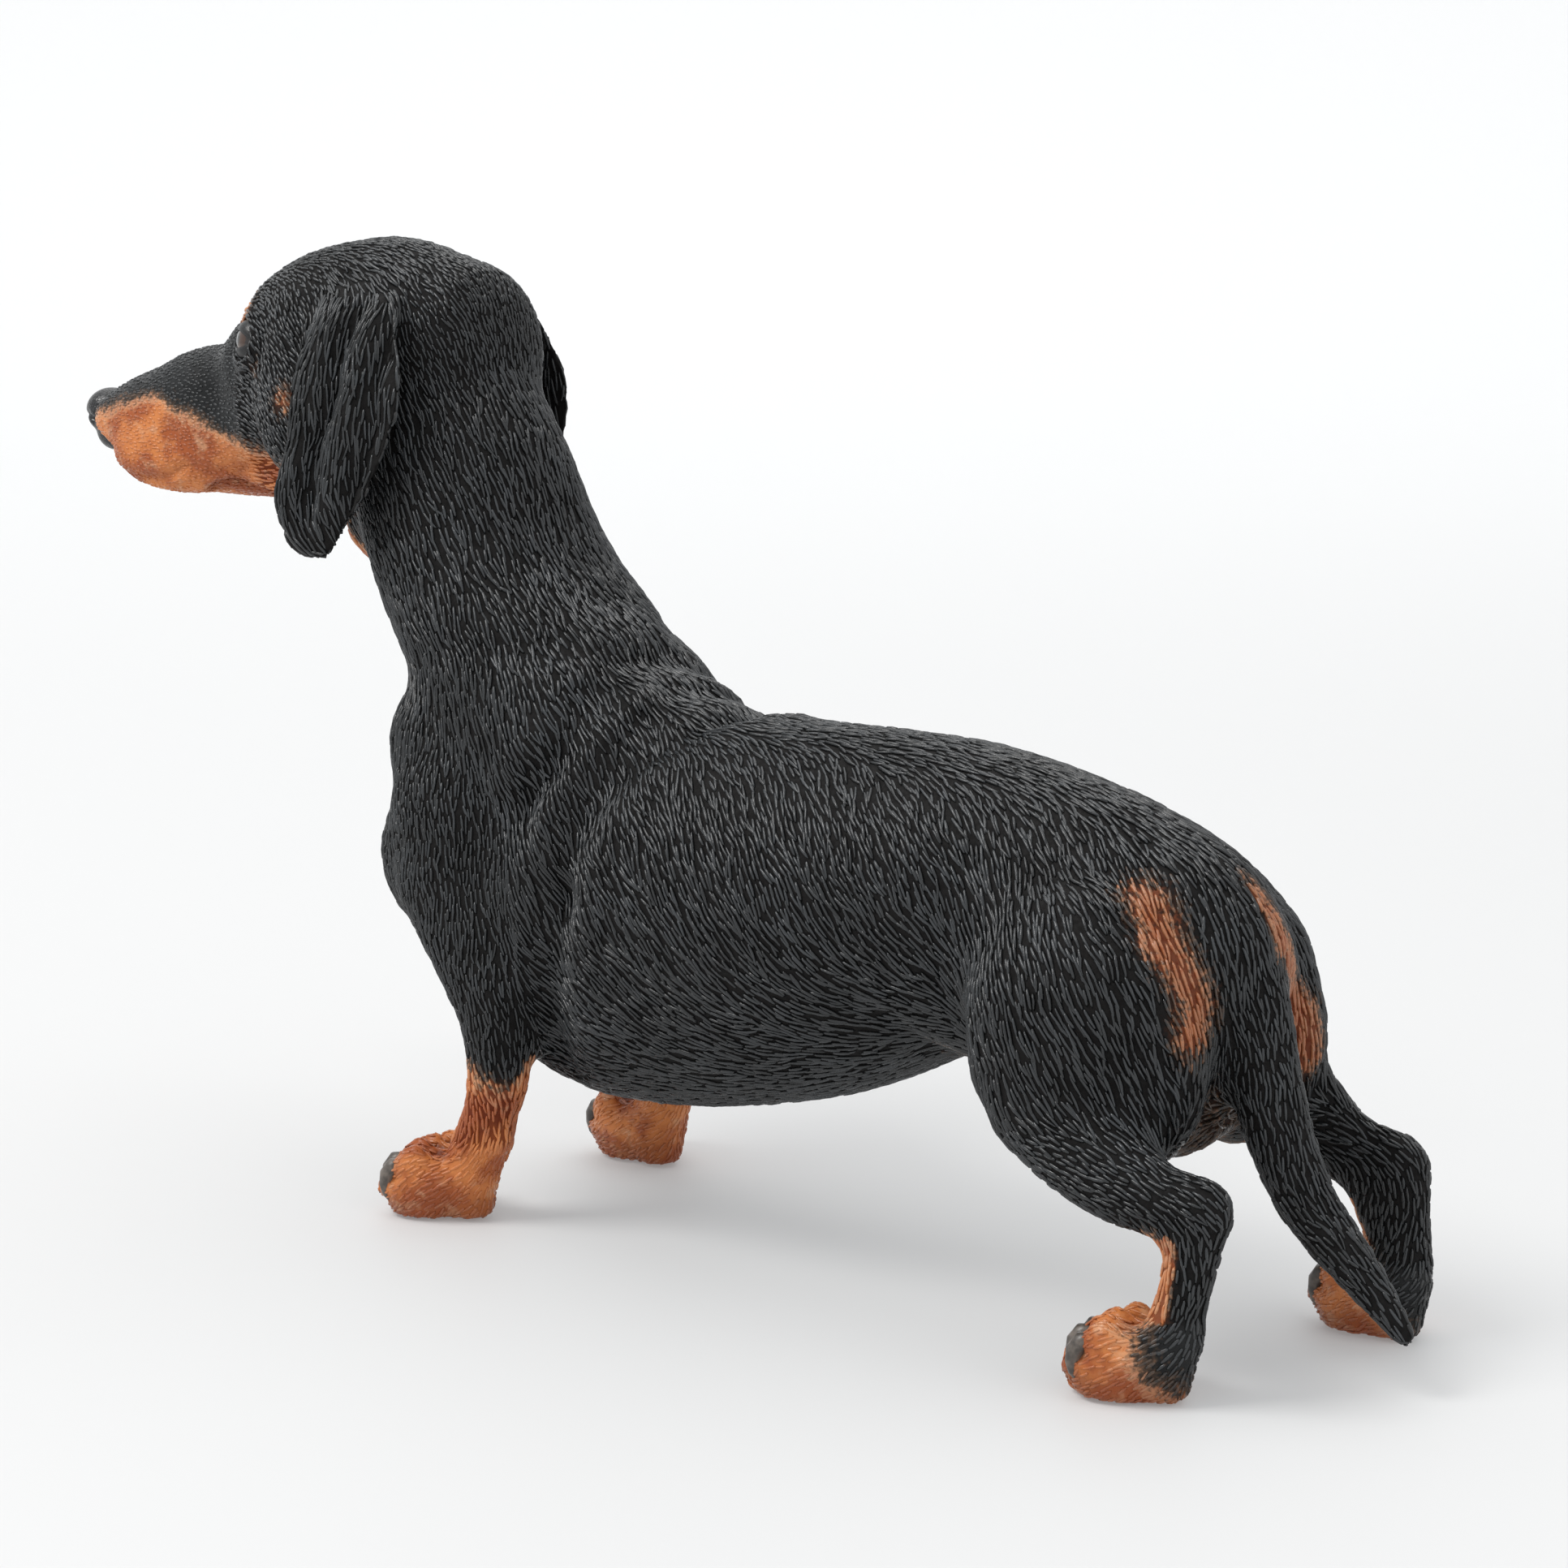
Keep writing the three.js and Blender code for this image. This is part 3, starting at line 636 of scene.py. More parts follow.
def build_skin(settings):
    flesh, numbers = swollen_parts(settings.swell)
    lump = add_object("flesh_lump", flesh)
    remesh = lump.modifiers.new("even_skin", "REMESH")
    remesh.mode = "VOXEL"
    remesh.voxel_size = settings.grain / 1000
    bpy.context.view_layer.update()
    even = bpy.data.meshes.new_from_object(lump.evaluated_get(bpy.context.evaluated_depsgraph_get()))
    surface = Surface(even)
    part = node_numbers(flesh, numbers, surface.points)
    bpy.data.objects.remove(lump)
    give = np.ones(len(part))
    head = to_head(surface.points)
    for word, share in GIVE.items():
        give[is_part(part, word)] = share
    ears = is_part(part, "ear_")
    give[ears] = EAR_GIVE[0] + EAR_GIVE[1] * smooth_step(*EAR_TOP, surface.points[ears, 2])
    for side in (1, -1):
        eye = np.linalg.norm(head - EYE_PLACE * (1, side, 1), axis=1)
        give *= 0.12 + 0.88 * smooth_step(2.4, 4.0, eye)
    give = surface.spread(give, 12)
    surface.relax(settings.softening, give)
    surface.push(np.full(len(part), -settings.swell - settings.coat_depth))
    melt_ear_roots(surface, part)
    carve(surface, part)
    surface.points = surface.points + 0.3 * (surface.around(surface.points) - surface.points)
    tan, brown_darkening = paint(surface, part)
    lie = lie_of_hair(surface, part)
    # How hollow the skin is at each point, which the paint darkens as painted shade.
    dip = np.sum((surface.around(surface.points) - surface.points) * surface.normals(), axis=1)
    hollow = np.clip(surface.spread(dip, 2) * 14, -1, 1)
    regions = hair_regions(surface, part)
    mesh = make_mesh("skin", surface.points, surface.faces)
    set_values(mesh, "tan", tan)
    set_values(mesh, "brown_darkening", brown_darkening)
    # The skin's ridge value sets its painted shade: full between the hairs of the body, less on the face and
    # paws.
    set_values(mesh, "ridge", surface.spread(np.where(regions["face"] | regions["paw"], 0.36, 0.0), 3))
    set_values(mesh, "hollow", hollow)
    set_values(mesh, "part", part)
    for axis, column in zip("xyz", lie.T):
        set_values(mesh, "lie_" + axis, column)
    skin = add_object("skin", mesh)
    dress(skin, coat_paint("skin_paint", SKIN_SHINE))
    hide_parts(*FLESH)


# Carved hair.


def hair_regions(surface, part):
    u = to_head(surface.points)[:, 0]
    head = is_part(part, "head", "jaw")
    low_leg = is_part(part, "hindleg") & (surface.points[:, 2] < 18)
    return {
        "face": head & (u > 15.5),
        "head": head & (u <= 15.5),
        "ear": is_part(part, "ear_"),
        "paw": is_part(part, "paw"),
        "leg": is_part(part, "foreleg", "tail") | low_leg,
    }


def candidate_roots(surface, chosen, spacing, rng):
    """Random faces and corner weights, evenly over the chosen faces and more than are needed."""
    faces = surface.faces[chosen]
    corners = surface.points[faces]
    across = np.cross(corners[:, 2] - corners[:, 0], corners[:, 3] - corners[:, 1])
    area = np.linalg.norm(across, axis=1) / 2
    count = int(CANDIDATES_PER_HAIR * 0.7 * area.sum() / (spacing[0] * spacing[1]))
    face = rng.choice(len(faces), count, p=area / area.sum())
    a, b = rng.random((2, count))
    return faces[face], np.stack([(1 - a) * (1 - b), a * (1 - b), a * b, (1 - a) * b], -1)


def spaced_out(places, ways, normals, spacing):
    """Which of the places to keep, so that no two hairs crowd each other along or across their lie."""
    along, across = spacing
    sides = np.cross(normals, ways)
    cells = np.floor(places / along).astype(np.int64)
    keys = (cells[:, 0] * 4001 + cells[:, 1]) * 4001 + cells[:, 2]
    order = np.argsort(keys, kind="stable")
    found, starts = np.unique(keys[order], return_index=True)
    groups = dict(zip(found.tolist(), np.split(order, starts[1:])))
    steps = [(a * 4001 + b) * 4001 + c for a in (-1, 0, 1) for b in (-1, 0, 1) for c in (-1, 0, 1)]
    crowded = np.zeros(len(places), bool)
    kept = []
    for i, cell in enumerate(keys.tolist()):
        if crowded[i]:
            continue
        kept.append(i)
        near = np.concatenate([groups[cell + step] for step in steps if cell + step in groups])
        offset = places[near] - places[i]
        reach = (offset @ ways[i] / along) ** 2 + (offset @ sides[i] / across) ** 2
        reach += (offset @ normals[i] / 0.6) ** 2
        crowded[near[reach < 1]] = True
    return np.array(kept)


def bake_patch(points, normals, extent):
    """A place on an unfolding of the skin: six views of it, side by side on a three by two sheet."""
    low, high = extent.min(0), extent.max(0)
    share = np.clip((points - low) / (high - low), 0, 1)
    axis = np.abs(normals).argmax(1)
    facing = np.take_along_axis(normals, axis[:, None], 1)[:, 0] > 0
    across = np.where(axis == 0, share[:, 1], share[:, 0])
    along = np.where(axis == 2, share[:, 1], share[:, 2])
    return np.stack([(axis + 0.03 + 0.94 * across) / 3, (facing + 0.03 + 0.94 * along) / 2], -1)


# One hair: a point, three rings of five corners and a point, at these shares of its length. A ring's corners
# run from its left foot over its crest to its right foot, as offset and height over the hair's own.
HAIR_STATIONS = (0.0, 0.2, 0.52, 0.84, 1.0)
RING_SCALE = (0.8, 1.0, 0.72)
RING_OFFSETS = (1.0, 0.6, 0.0, -0.6, -1.0)
RING_HEIGHTS = (None, 0.72, 1.0, 0.72, None)
# Each corner's ridge value, from 0 at the foot to 1 at the crest: the paint puts painted shade at the feet
# and lightens the crests, partly as worn paint and partly as a painted highlight.
RING_RIDGE = (0.0, 0.75, 1.0, 0.75, 0.0)
HAIR_RIDGE = np.array((0.3, *RING_RIDGE, *RING_RIDGE, *RING_RIDGE, 0.5))
HAIR_CORNERS = len(HAIR_RIDGE)
BAKE_PATCH = 0.003


def hair_faces():
    faces = []
    for k in range(5):
        j = (k + 1) % 5
        faces += [(0, 1 + j, 1 + k), (16, 11 + k, 11 + j)]
        for a in (1, 6):
            faces += [(a + k, a + j, a + 5 + j), (a + k, a + 5 + j, a + 5 + k)]
    return np.array(faces)


def carve_hairs(tree, place, way, sizes, rng):
    """Corners of closed ridges that follow the surface from their roots."""
    length, width, height = sizes
    count = len(place)
    length = length * rng.uniform(0.7, 1.25, count)
    width = width * rng.uniform(0.8, 1.2, count)
    height = height * rng.uniform(0.55, 1.3, count)
    turn = np.radians(7 * ripple(place, 4, 21) + rng.normal(0, 5, count))
    bend = np.radians(rng.normal(0, 4, count))
    place = place - way * (0.5 * length)[:, None]
    corners = []
    for station, share in enumerate(HAIR_STATIONS):
        if station:
            place = place + way * ((share - HAIR_STATIONS[station - 1]) * length)[:, None]
        snapped = [tree.find_nearest(Vector(p)) for p in place]
        place = np.array([s[0] for s in snapped])
        normal = np.array([s[1] for s in snapped])
        way = unit(way - normal * np.sum(way * normal, axis=1, keepdims=True))
        swing = bend if station else turn
        way = unit(way * np.cos(swing)[:, None] + np.cross(normal, way) * np.sin(swing)[:, None])
        side = np.cross(normal, way)
        if station in (0, 4):
            corners.append(place - normal * 0.02)
            continue
        scale = RING_SCALE[station - 1]
        for offset, rise in zip(RING_OFFSETS, RING_HEIGHTS):
            up = -HAIR_SINK if rise is None else (height * rise * (0.4 + 0.6 * scale))[:, None]
            corners.append(place + side * (offset * scale * width)[:, None] + normal * up)
    return np.stack(corners, 1)


def bare_skin(surface):
    """Where no hair is carved: the eyes, under the soles and the end of the muzzle."""
    head = to_head(surface.points)
    bare = (surface.points[:, 2] < 0.35) | ((head[:, 0] > 34.4) & (head[:, 2] > 58.5))
    for side in (1, -1):
        bare |= np.linalg.norm(head - EYE_PLACE * (1, side, 1), axis=1) < 2.2
    return bare


def hair_piece(name, corners, values, patch):
    """A joined piece of many hairs, with the values and the place on the bake sheet of each."""
    count = len(corners)
    faces = (hair_faces()[None] + HAIR_CORNERS * np.arange(count)[:, None, None]).reshape(-1, 3)
    mesh = make_mesh(name, corners.reshape(-1, 3), faces)
    for word in ("tan", "brown_darkening"):
        set_values(mesh, word, np.repeat(values[word], HAIR_CORNERS))
    set_values(mesh, "ridge", (HAIR_RIDGE[None] * values["bright"][:, None]).ravel())
    set_values(mesh, "hollow", np.zeros(count * HAIR_CORNERS))
    along = np.repeat(HAIR_STATIONS, (1, 5, 5, 5, 1))
    across = np.array((0.5, *np.tile(np.linspace(0, 1, 5), 3), 0.5))
    spots = (patch[:, None] + BAKE_PATCH * np.stack([across, along], -1)[None]).reshape(-1, 2)
    sheet = mesh.uv_layers.new(name="OFBake")
    sheet.data.foreach_set("uv", spots[faces.ravel()].astype(np.float32).ravel())
    piece = add_object(name, mesh)
    dress(piece, coat_paint("coat_paint", HAIR_SHINE))


def build_hair(skin, settings):
    surface = Surface(skin.data)
    tree = surface.tree()
    part = get_values(skin.data, "part").astype(int)
    painted = {word: get_values(skin.data, word) for word in ("tan", "brown_darkening")}
    lie = np.stack([get_values(skin.data, "lie_" + axis) for axis in "xyz"], -1)
    normals = surface.normals()
    rng = np.random.default_rng(SEED)
    regions = hair_regions(surface, part)
    regions["body"] = ~np.any(list(regions.values()), axis=0)
    bare = bare_skin(surface)
    loose = 1 / math.sqrt(settings.density)
    corners, patches, values = [], [], {"tan": [], "brown_darkening": [], "bright": []}
    for name, (along, across, length, width, height) in HAIR.items():
        chosen = (regions[name] & ~bare)[surface.faces[:, 0]]
        spacing = (along * loose, across * loose)
        faces, weights = candidate_roots(surface, chosen, spacing, rng)
        place = np.einsum("nk,nkj->nj", weights, surface.points[faces])
        way = unit(np.einsum("nk,nkj->nj", weights, lie[faces]))
        normal = unit(np.einsum("nk,nkj->nj", weights, normals[faces]))
        kept = spaced_out(place, way, normal, spacing)
        sizes = (length * settings.length, width * settings.width, height * settings.height)
        corners.append(carve_hairs(tree, place[kept], way[kept], sizes, rng))
        patches.append(bake_patch(place[kept], normal[kept], surface.points))
        for word, found in painted.items():
            values[word].append(np.einsum("nk,nk->n", weights, found[faces])[kept])
        # How strongly each hair's crest is lightened, so that its worn paint and painted highlight vary from
        # hair to hair.
        values["bright"].append(rng.uniform(0.6, 1.0, len(kept)))
    corners, patches = np.concatenate(corners), np.concatenate(patches)
    values = {word: np.concatenate(found) for word, found in values.items()}
    order = np.argsort(corners[:, 0, 0] + 40 * (corners[:, 0, 2] > 46))
    shares = np.array_split(order, math.ceil(len(order) / HAIRS_PER_PIECE))
    for number, share in enumerate(shares, 1):
        mine = {word: found[share] for word, found in values.items()}
        hair_piece(f"hair_{number}", corners[share], mine, patches[share])


# Face and claws.


def ball(centre, radius, around=48, rings=32):
    """Points and triangles of a sphere."""
    points = [np.array(centre) + (0, 0, radius)]
    for i in range(1, rings):
        polar = math.pi * i / rings
        angle = np.arange(around) * 2 * math.pi / around
        level, reach = np.full(around, math.cos(polar)), np.sin(polar)
        ring = np.stack([reach * np.cos(angle), reach * np.sin(angle), level], -1)
        points += list(np.array(centre) + radius * ring)
    points.append(np.array(centre) - (0, 0, radius))
    faces = []
    for j in range(around):
        k = (j + 1) % around
        faces.append((0, 1 + j, 1 + k))
        for i in range(rings - 2):
            a, b = 1 + i * around, 1 + (i + 1) * around
            faces += [(a + j, b + j, b + k), (a + j, b + k, a + k)]
        last = 1 + (rings - 2) * around
        faces.append((len(points) - 1, last + k, last + j))
    return np.array(points), np.array(faces)


def eye_axes(side):
    """The eye's outward, rearward and upward directions in the dog's frame."""
    out = unit(from_head_way([0.62, 0.76 * side, 0.16]))
    back = unit(np.cross([0, 0, 1.0], out) * side)
    return out, back, unit(np.cross(out, back) * side)


def lid(side, upper):
    """A closed shell over the eyeball, its free edge curved to an almond opening."""
    out, back, up = eye_axes(side)
    centre = from_head(EYE_PLACE * (1, side, 1))
    wide, tall = 28, 8
    sheets = []
    for radius in (EYE_RADIUS + 0.26, EYE_RADIUS + 0.02):
        sheet = []
        for i in range(wide + 1):
            across = math.radians(-66 + 132 * i / wide)
            opening = math.radians(25 if upper else 21) * max(math.cos(across * 1.45), 0.0) ** 0.8
            edge = opening + math.radians(-3 if upper else 3)
            for j in range(tall + 1):
                swing = edge + (math.radians(84) - edge) * j / tall
                swing = swing if upper else -swing
                flat = out * math.cos(across) + back * math.sin(across)
                round_edge = 0.10 * (1 - min(j, 2) / 2) * (1 if radius > EYE_RADIUS + 0.1 else 0)
                way = flat * math.cos(swing) + up * math.sin(swing)
                sheet.append(centre + (radius - round_edge) * way)
        sheets.append(np.array(sheet))
    size = (wide + 1) * (tall + 1)
    faces = []
    for i in range(wide):
        for j in range(tall):
            a = i * (tall + 1) + j
            faces.append((a, a + 1, a + tall + 2, a + tall + 1))
            faces.append((size + a, size + a + tall + 1, size + a + tall + 2, size + a + 1))
    rim = [i * (tall + 1) for i in range(wide + 1)]
    rim += [wide * (tall + 1) + j for j in range(1, tall + 1)]
    rim += [i * (tall + 1) + tall for i in range(wide - 1, -1, -1)]
    rim += [j for j in range(tall - 1, 0, -1)]
    for a, b in zip(rim, rim[1:] + rim[:1]):
        faces.append((a, b, size + b, size + a))
    return np.concatenate(sheets), np.array(faces)


def tidy_normals(mesh):
    shape = bmesh.new()
    shape.from_mesh(mesh)
    bmesh.ops.remove_doubles(shape, verts=shape.verts, dist=1e-7)
    bmesh.ops.recalc_face_normals(shape, faces=shape.faces)
    shape.to_mesh(mesh)
    shape.free()


def build_eyes():
    for word, side in (("left", 1), ("right", -1)):
        points, faces = ball(from_head(EYE_PLACE * (1, side, 1)), EYE_RADIUS)
        eye = add_object(f"eyeball_{word}", make_mesh(f"eyeball_{word}", points, faces))
        dress(eye, eye_gloss(side))
        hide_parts(f"eye_{word}")
        shells = [lid(side, True), lid(side, False)]
        points = np.concatenate([s[0] for s in shells])
        faces = np.concatenate([shells[0][1], shells[1][1] + len(shells[0][0])])
        mesh = make_mesh(f"eyelids_{word}", points, faces)
        tidy_normals(mesh)
        # The lids take a little painted shade from their ridge and hollow values.
        for name, value in (("tan", 0.0), ("brown_darkening", 0.0), ("ridge", 0.3), ("hollow", 0.2)):
            set_values(mesh, name, np.full(len(mesh.vertices), value))
        lids = add_object(f"eyelids_{word}", mesh)
        dress(lids, coat_paint("coat_paint", HAIR_SHINE))


def build_nose():
    """The nose leather: a rounded pad with a groove down the middle and comma-shaped nostrils."""
    source = bmesh.new()
    for centre, radii in (
        ((NOSE_REACH - 2.2, 0, 61.4), (2.2, 2.3, 1.95)),
        ((NOSE_REACH - 2.6, 0, 59.9), (1.8, 1.7, 2.0)),
        ((NOSE_REACH - 2.4, 1.1, 61.0), (1.7, 1.3, 1.5)),
        ((NOSE_REACH - 2.4, -1.1, 61.0), (1.7, 1.3, 1.5)),
    ):
        place = Matrix.Translation(Vector(to_row(from_head(centre)))) @ Matrix.Rotation(HEAD_YAW, 4, "Z")
        shape = place @ Matrix.Diagonal(Vector([r / 1000 for r in radii] + [1]))
        bmesh.ops.create_uvsphere(source, u_segments=40, v_segments=24, radius=1, matrix=shape)
    mesh = bpy.data.meshes.new("nose_lump")
    source.to_mesh(mesh)
    source.free()
    lump = add_object("nose_lump", mesh)
    remesh = lump.modifiers.new("even_leather", "REMESH")
    remesh.mode = "VOXEL"
    remesh.voxel_size = NOSE_GRAIN / 1000
    bpy.context.view_layer.update()
    even = bpy.data.meshes.new_from_object(lump.evaluated_get(bpy.context.evaluated_depsgraph_get()))
    bpy.data.objects.remove(lump)
    surface = Surface(even)
    surface.relax(60, np.ones(len(surface.points)))
    head = to_head(surface.points)
    u, v, z = head.T
    below = smooth_step(62.0, 61.0, z) * smooth_step(NOSE_REACH - 3, NOSE_REACH - 2, u)
    depth = 0.18 * bell(v, 0.18) * below
    nostril = [(NOSE_REACH - 0.6, 1.0, 60.9), (NOSE_REACH - 1.2, 1.8, 61.2), (NOSE_REACH - 2.0, 2.3, 60.6)]
    for side in (1, -1):
        hole = distance_to_line(head, np.array(nostril) * (1, side, 1))
        depth += 0.42 * bell(hole, 0.28)
    surface.push(-depth - 0.04)
    mesh = make_mesh("nose_leather", surface.points, surface.faces)
    piece = add_object("nose_leather", mesh)
    dress(piece, nose_gloss())
    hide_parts("nose")


def claw_template():
    """One blunt claw, rooted at the origin and curved forward and down, in millimetres."""
    path = np.array(((-0.8, 0.75), (-0.1, 0.6), (0.5, 0.0), (0.78, -0.8), (0.82, -1.55), (0.72, -2.05)))
    wide = (0.5, 0.78, 0.78, 0.64, 0.42, 0.14)
    tall = (0.5, 0.72, 0.70, 0.58, 0.38, 0.12)
    travel = np.gradient(path, axis=0)
    travel /= np.linalg.norm(travel, axis=1, keepdims=True)
    around = 14
    angle = 2 * np.pi * np.arange(around) / around
    points = []
    for (x, z), (tx, tz), w, t in zip(path, travel, wide, tall):
        points += [(x - tz * t * math.sin(a), w * math.cos(a), z + tx * t * math.sin(a)) for a in angle]
    points.append((path[0][0] - 0.1, 0, path[0][1]))
    points.append((path[-1][0], 0, path[-1][1] - 0.08))
    faces = []
    for j in range(around):
        k = (j + 1) % around
        for i in range(len(path) - 1):
            a, b = i * around, (i + 1) * around
            faces += [(a + j, a + k, b + k), (a + j, b + k, b + j)]
        faces.append((len(points) - 2, k, j))
        last = (len(path) - 1) * around
        faces.append((len(points) - 1, last + j, last + k))
    mesh = bpy.data.meshes.new("claw")
    mesh.from_pydata([tuple(c / 1000 for c in p) for p in points], [], faces)
    tidy_normals(mesh)
    for polygon in mesh.polygons:
        polygon.use_smooth = True
    return add_object("claw_template", mesh)


def claw_tree(material):
    """Sets one claw at each point, turned by the point's turn, then joins them and paints them."""
    tree = bpy.data.node_groups.new("claw_setting", "GeometryNodeTree")
    sockets = {}
    for name, kind in (("Geometry", "Geometry"), ("Claw", "Object"), ("Claw size", "Float")):
        socket = tree.interface.new_socket(name, in_out="INPUT", socket_type="NodeSocket" + kind)
        sockets[name] = socket.identifier
    tree.interface.new_socket("Geometry", in_out="OUTPUT", socket_type="NodeSocketGeometry")
    start = tree.nodes.new("NodeGroupInput")
    info = tree.nodes.new("GeometryNodeObjectInfo")
    turn = tree.nodes.new("GeometryNodeInputNamedAttribute")
    euler = tree.nodes.new("FunctionNodeEulerToRotation")
    instance = tree.nodes.new("GeometryNodeInstanceOnPoints")
    realize = tree.nodes.new("GeometryNodeRealizeInstances")
    finish = tree.nodes.new("GeometryNodeSetMaterial")
    end = tree.nodes.new("NodeGroupOutput")
    turn.data_type = "FLOAT_VECTOR"
    turn.inputs["Name"].default_value = "turn"
    finish.inputs["Material"].default_value = material
    link = tree.links.new
    link(start.outputs["Geometry"], instance.inputs["Points"])
    link(start.outputs["Claw"], info.inputs["Object"])
    link(info.outputs["Geometry"], instance.inputs["Instance"])
    link(turn.outputs["Attribute"], euler.inputs[0])
    link(euler.outputs[0], instance.inputs["Rotation"])
    link(start.outputs["Claw size"], instance.inputs["Scale"])
    link(instance.outputs["Instances"], realize.inputs["Geometry"])
    link(realize.outputs["Geometry"], finish.inputs["Geometry"])
    link(finish.outputs["Geometry"], end.inputs["Geometry"])
    return tree, sockets


def build_claws():
    roots, turns = [], []
    for kind, ankle, side, turn, long, wide in PAWS:
        c, s = math.cos(math.radians(turn)), math.sin(math.radians(turn))
        for spread in TOE_SPREAD:
            tip = long * (1 - 0.26 * spread**2) - 0.6
            aside = wide * spread
            roots.append((ankle + tip * c - aside * s, side * (STANCE[kind] + tip * s + aside * c), 3.6))
            turns.append((0, 0.12, side * math.radians(turn + 7 * spread)))
    mesh = bpy.data.meshes.new("claws")
    mesh.from_pydata([tuple(to_row(p)) for p in roots], [], [])
    attribute = mesh.attributes.new("turn", "FLOAT_VECTOR", "POINT")
    attribute.data.foreach_set("vector", np.array(turns, np.float32).ravel())
    template = claw_template()
    seeds = add_object("claw_seeds", mesh)
    material = claw_paint()
    tree, sockets = claw_tree(material)
    modifier = seeds.modifiers.new("claws", "NODES")
    modifier.node_group = tree
    modifier[sockets["Claw"]] = template
    modifier[sockets["Claw size"]] = 1.0
    bpy.context.view_layer.update()
    real = bpy.data.meshes.new_from_object(seeds.evaluated_get(bpy.context.evaluated_depsgraph_get()))
    bpy.data.objects.remove(seeds)
    bpy.data.objects.remove(template)
    claws = add_object("claws", real)
    dress(claws, material)


# Finishes.


def new_material(name):
    material = bpy.data.materials.get(name)
    if material:
        return material, None
    material = bpy.data.materials.new(name)
    material.use_nodes = True
    return material, material.node_tree


class Nodes:
    """Short words for building a material's tree."""

    def __init__(self, tree):
        self.tree = tree
        self.shader = tree.nodes["Principled BSDF"]
        self.place = self.add("ShaderNodeTexCoord").outputs["Object"]

    def add(self, kind, **values):
        node = self.tree.nodes.new(kind)
        for name, value in values.items():
            setattr(node, name, value)
        return node

    def link(self, out, socket):
        self.tree.links.new(out, socket)

    def value(self, name):
        return self.add("ShaderNodeAttribute", attribute_name=name).outputs["Fac"]

    def noise(self, size, detail=2.0, seed=0.0):
        """Noise with features of about the given size in millimetres."""
        shift = self.add("ShaderNodeVectorMath", operation="ADD")
        self.link(self.place, shift.inputs[0])
        shift.inputs[1].default_value = (seed, seed * 0.7, -seed)
        node = self.add("ShaderNodeTexNoise")
        self.link(shift.outputs[0], node.inputs["Vector"])
        node.inputs["Scale"].default_value = 1000 / size
        node.inputs["Detail"].default_value = detail
        return node.outputs["Fac"]

    def maths(self, operation, a, b=0.0, c=0.0):
        node = self.add("ShaderNodeMath", operation=operation)
        for socket, item in zip(node.inputs, (a, b, c)):
            if isinstance(item, (int, float)):
                socket.default_value = item
            else:
                self.link(item, socket)
        return node.outputs[0]

    def span(self, value, low, high, to_low=0.0, to_high=1.0):
        node = self.add("ShaderNodeMapRange", interpolation_type="SMOOTHSTEP")
        self.link(value, node.inputs["Value"])
        limits = {"From Min": low, "From Max": high, "To Min": to_low, "To Max": to_high}
        for name, number in limits.items():
            node.inputs[name].default_value = number
        return node.outputs["Result"]

    def mix(self, share, a, b, blend="MIX"):
        """Mixes two colours, whose sockets are the node's seventh and eighth."""
        node = self.add("ShaderNodeMix", data_type="RGBA", blend_type=blend)
        for socket, item in ((node.inputs["Factor"], share), (node.inputs[6], a), (node.inputs[7], b)):
            if isinstance(item, (int, float)):
                socket.default_value = item
            elif isinstance(item, (tuple, list)):
                socket.default_value = (*item[:3], 1)
            else:
                self.link(item, socket)
        return node.outputs[2]

    def bump(self, height, distance, strength=1.0, after=None):
        node = self.add("ShaderNodeBump")
        node.inputs["Strength"].default_value = strength
        node.inputs["Distance"].default_value = distance / 1000
        self.link(height, node.inputs["Height"])
        if after:
            self.link(after, node.inputs["Normal"])
        return node.outputs["Normal"]


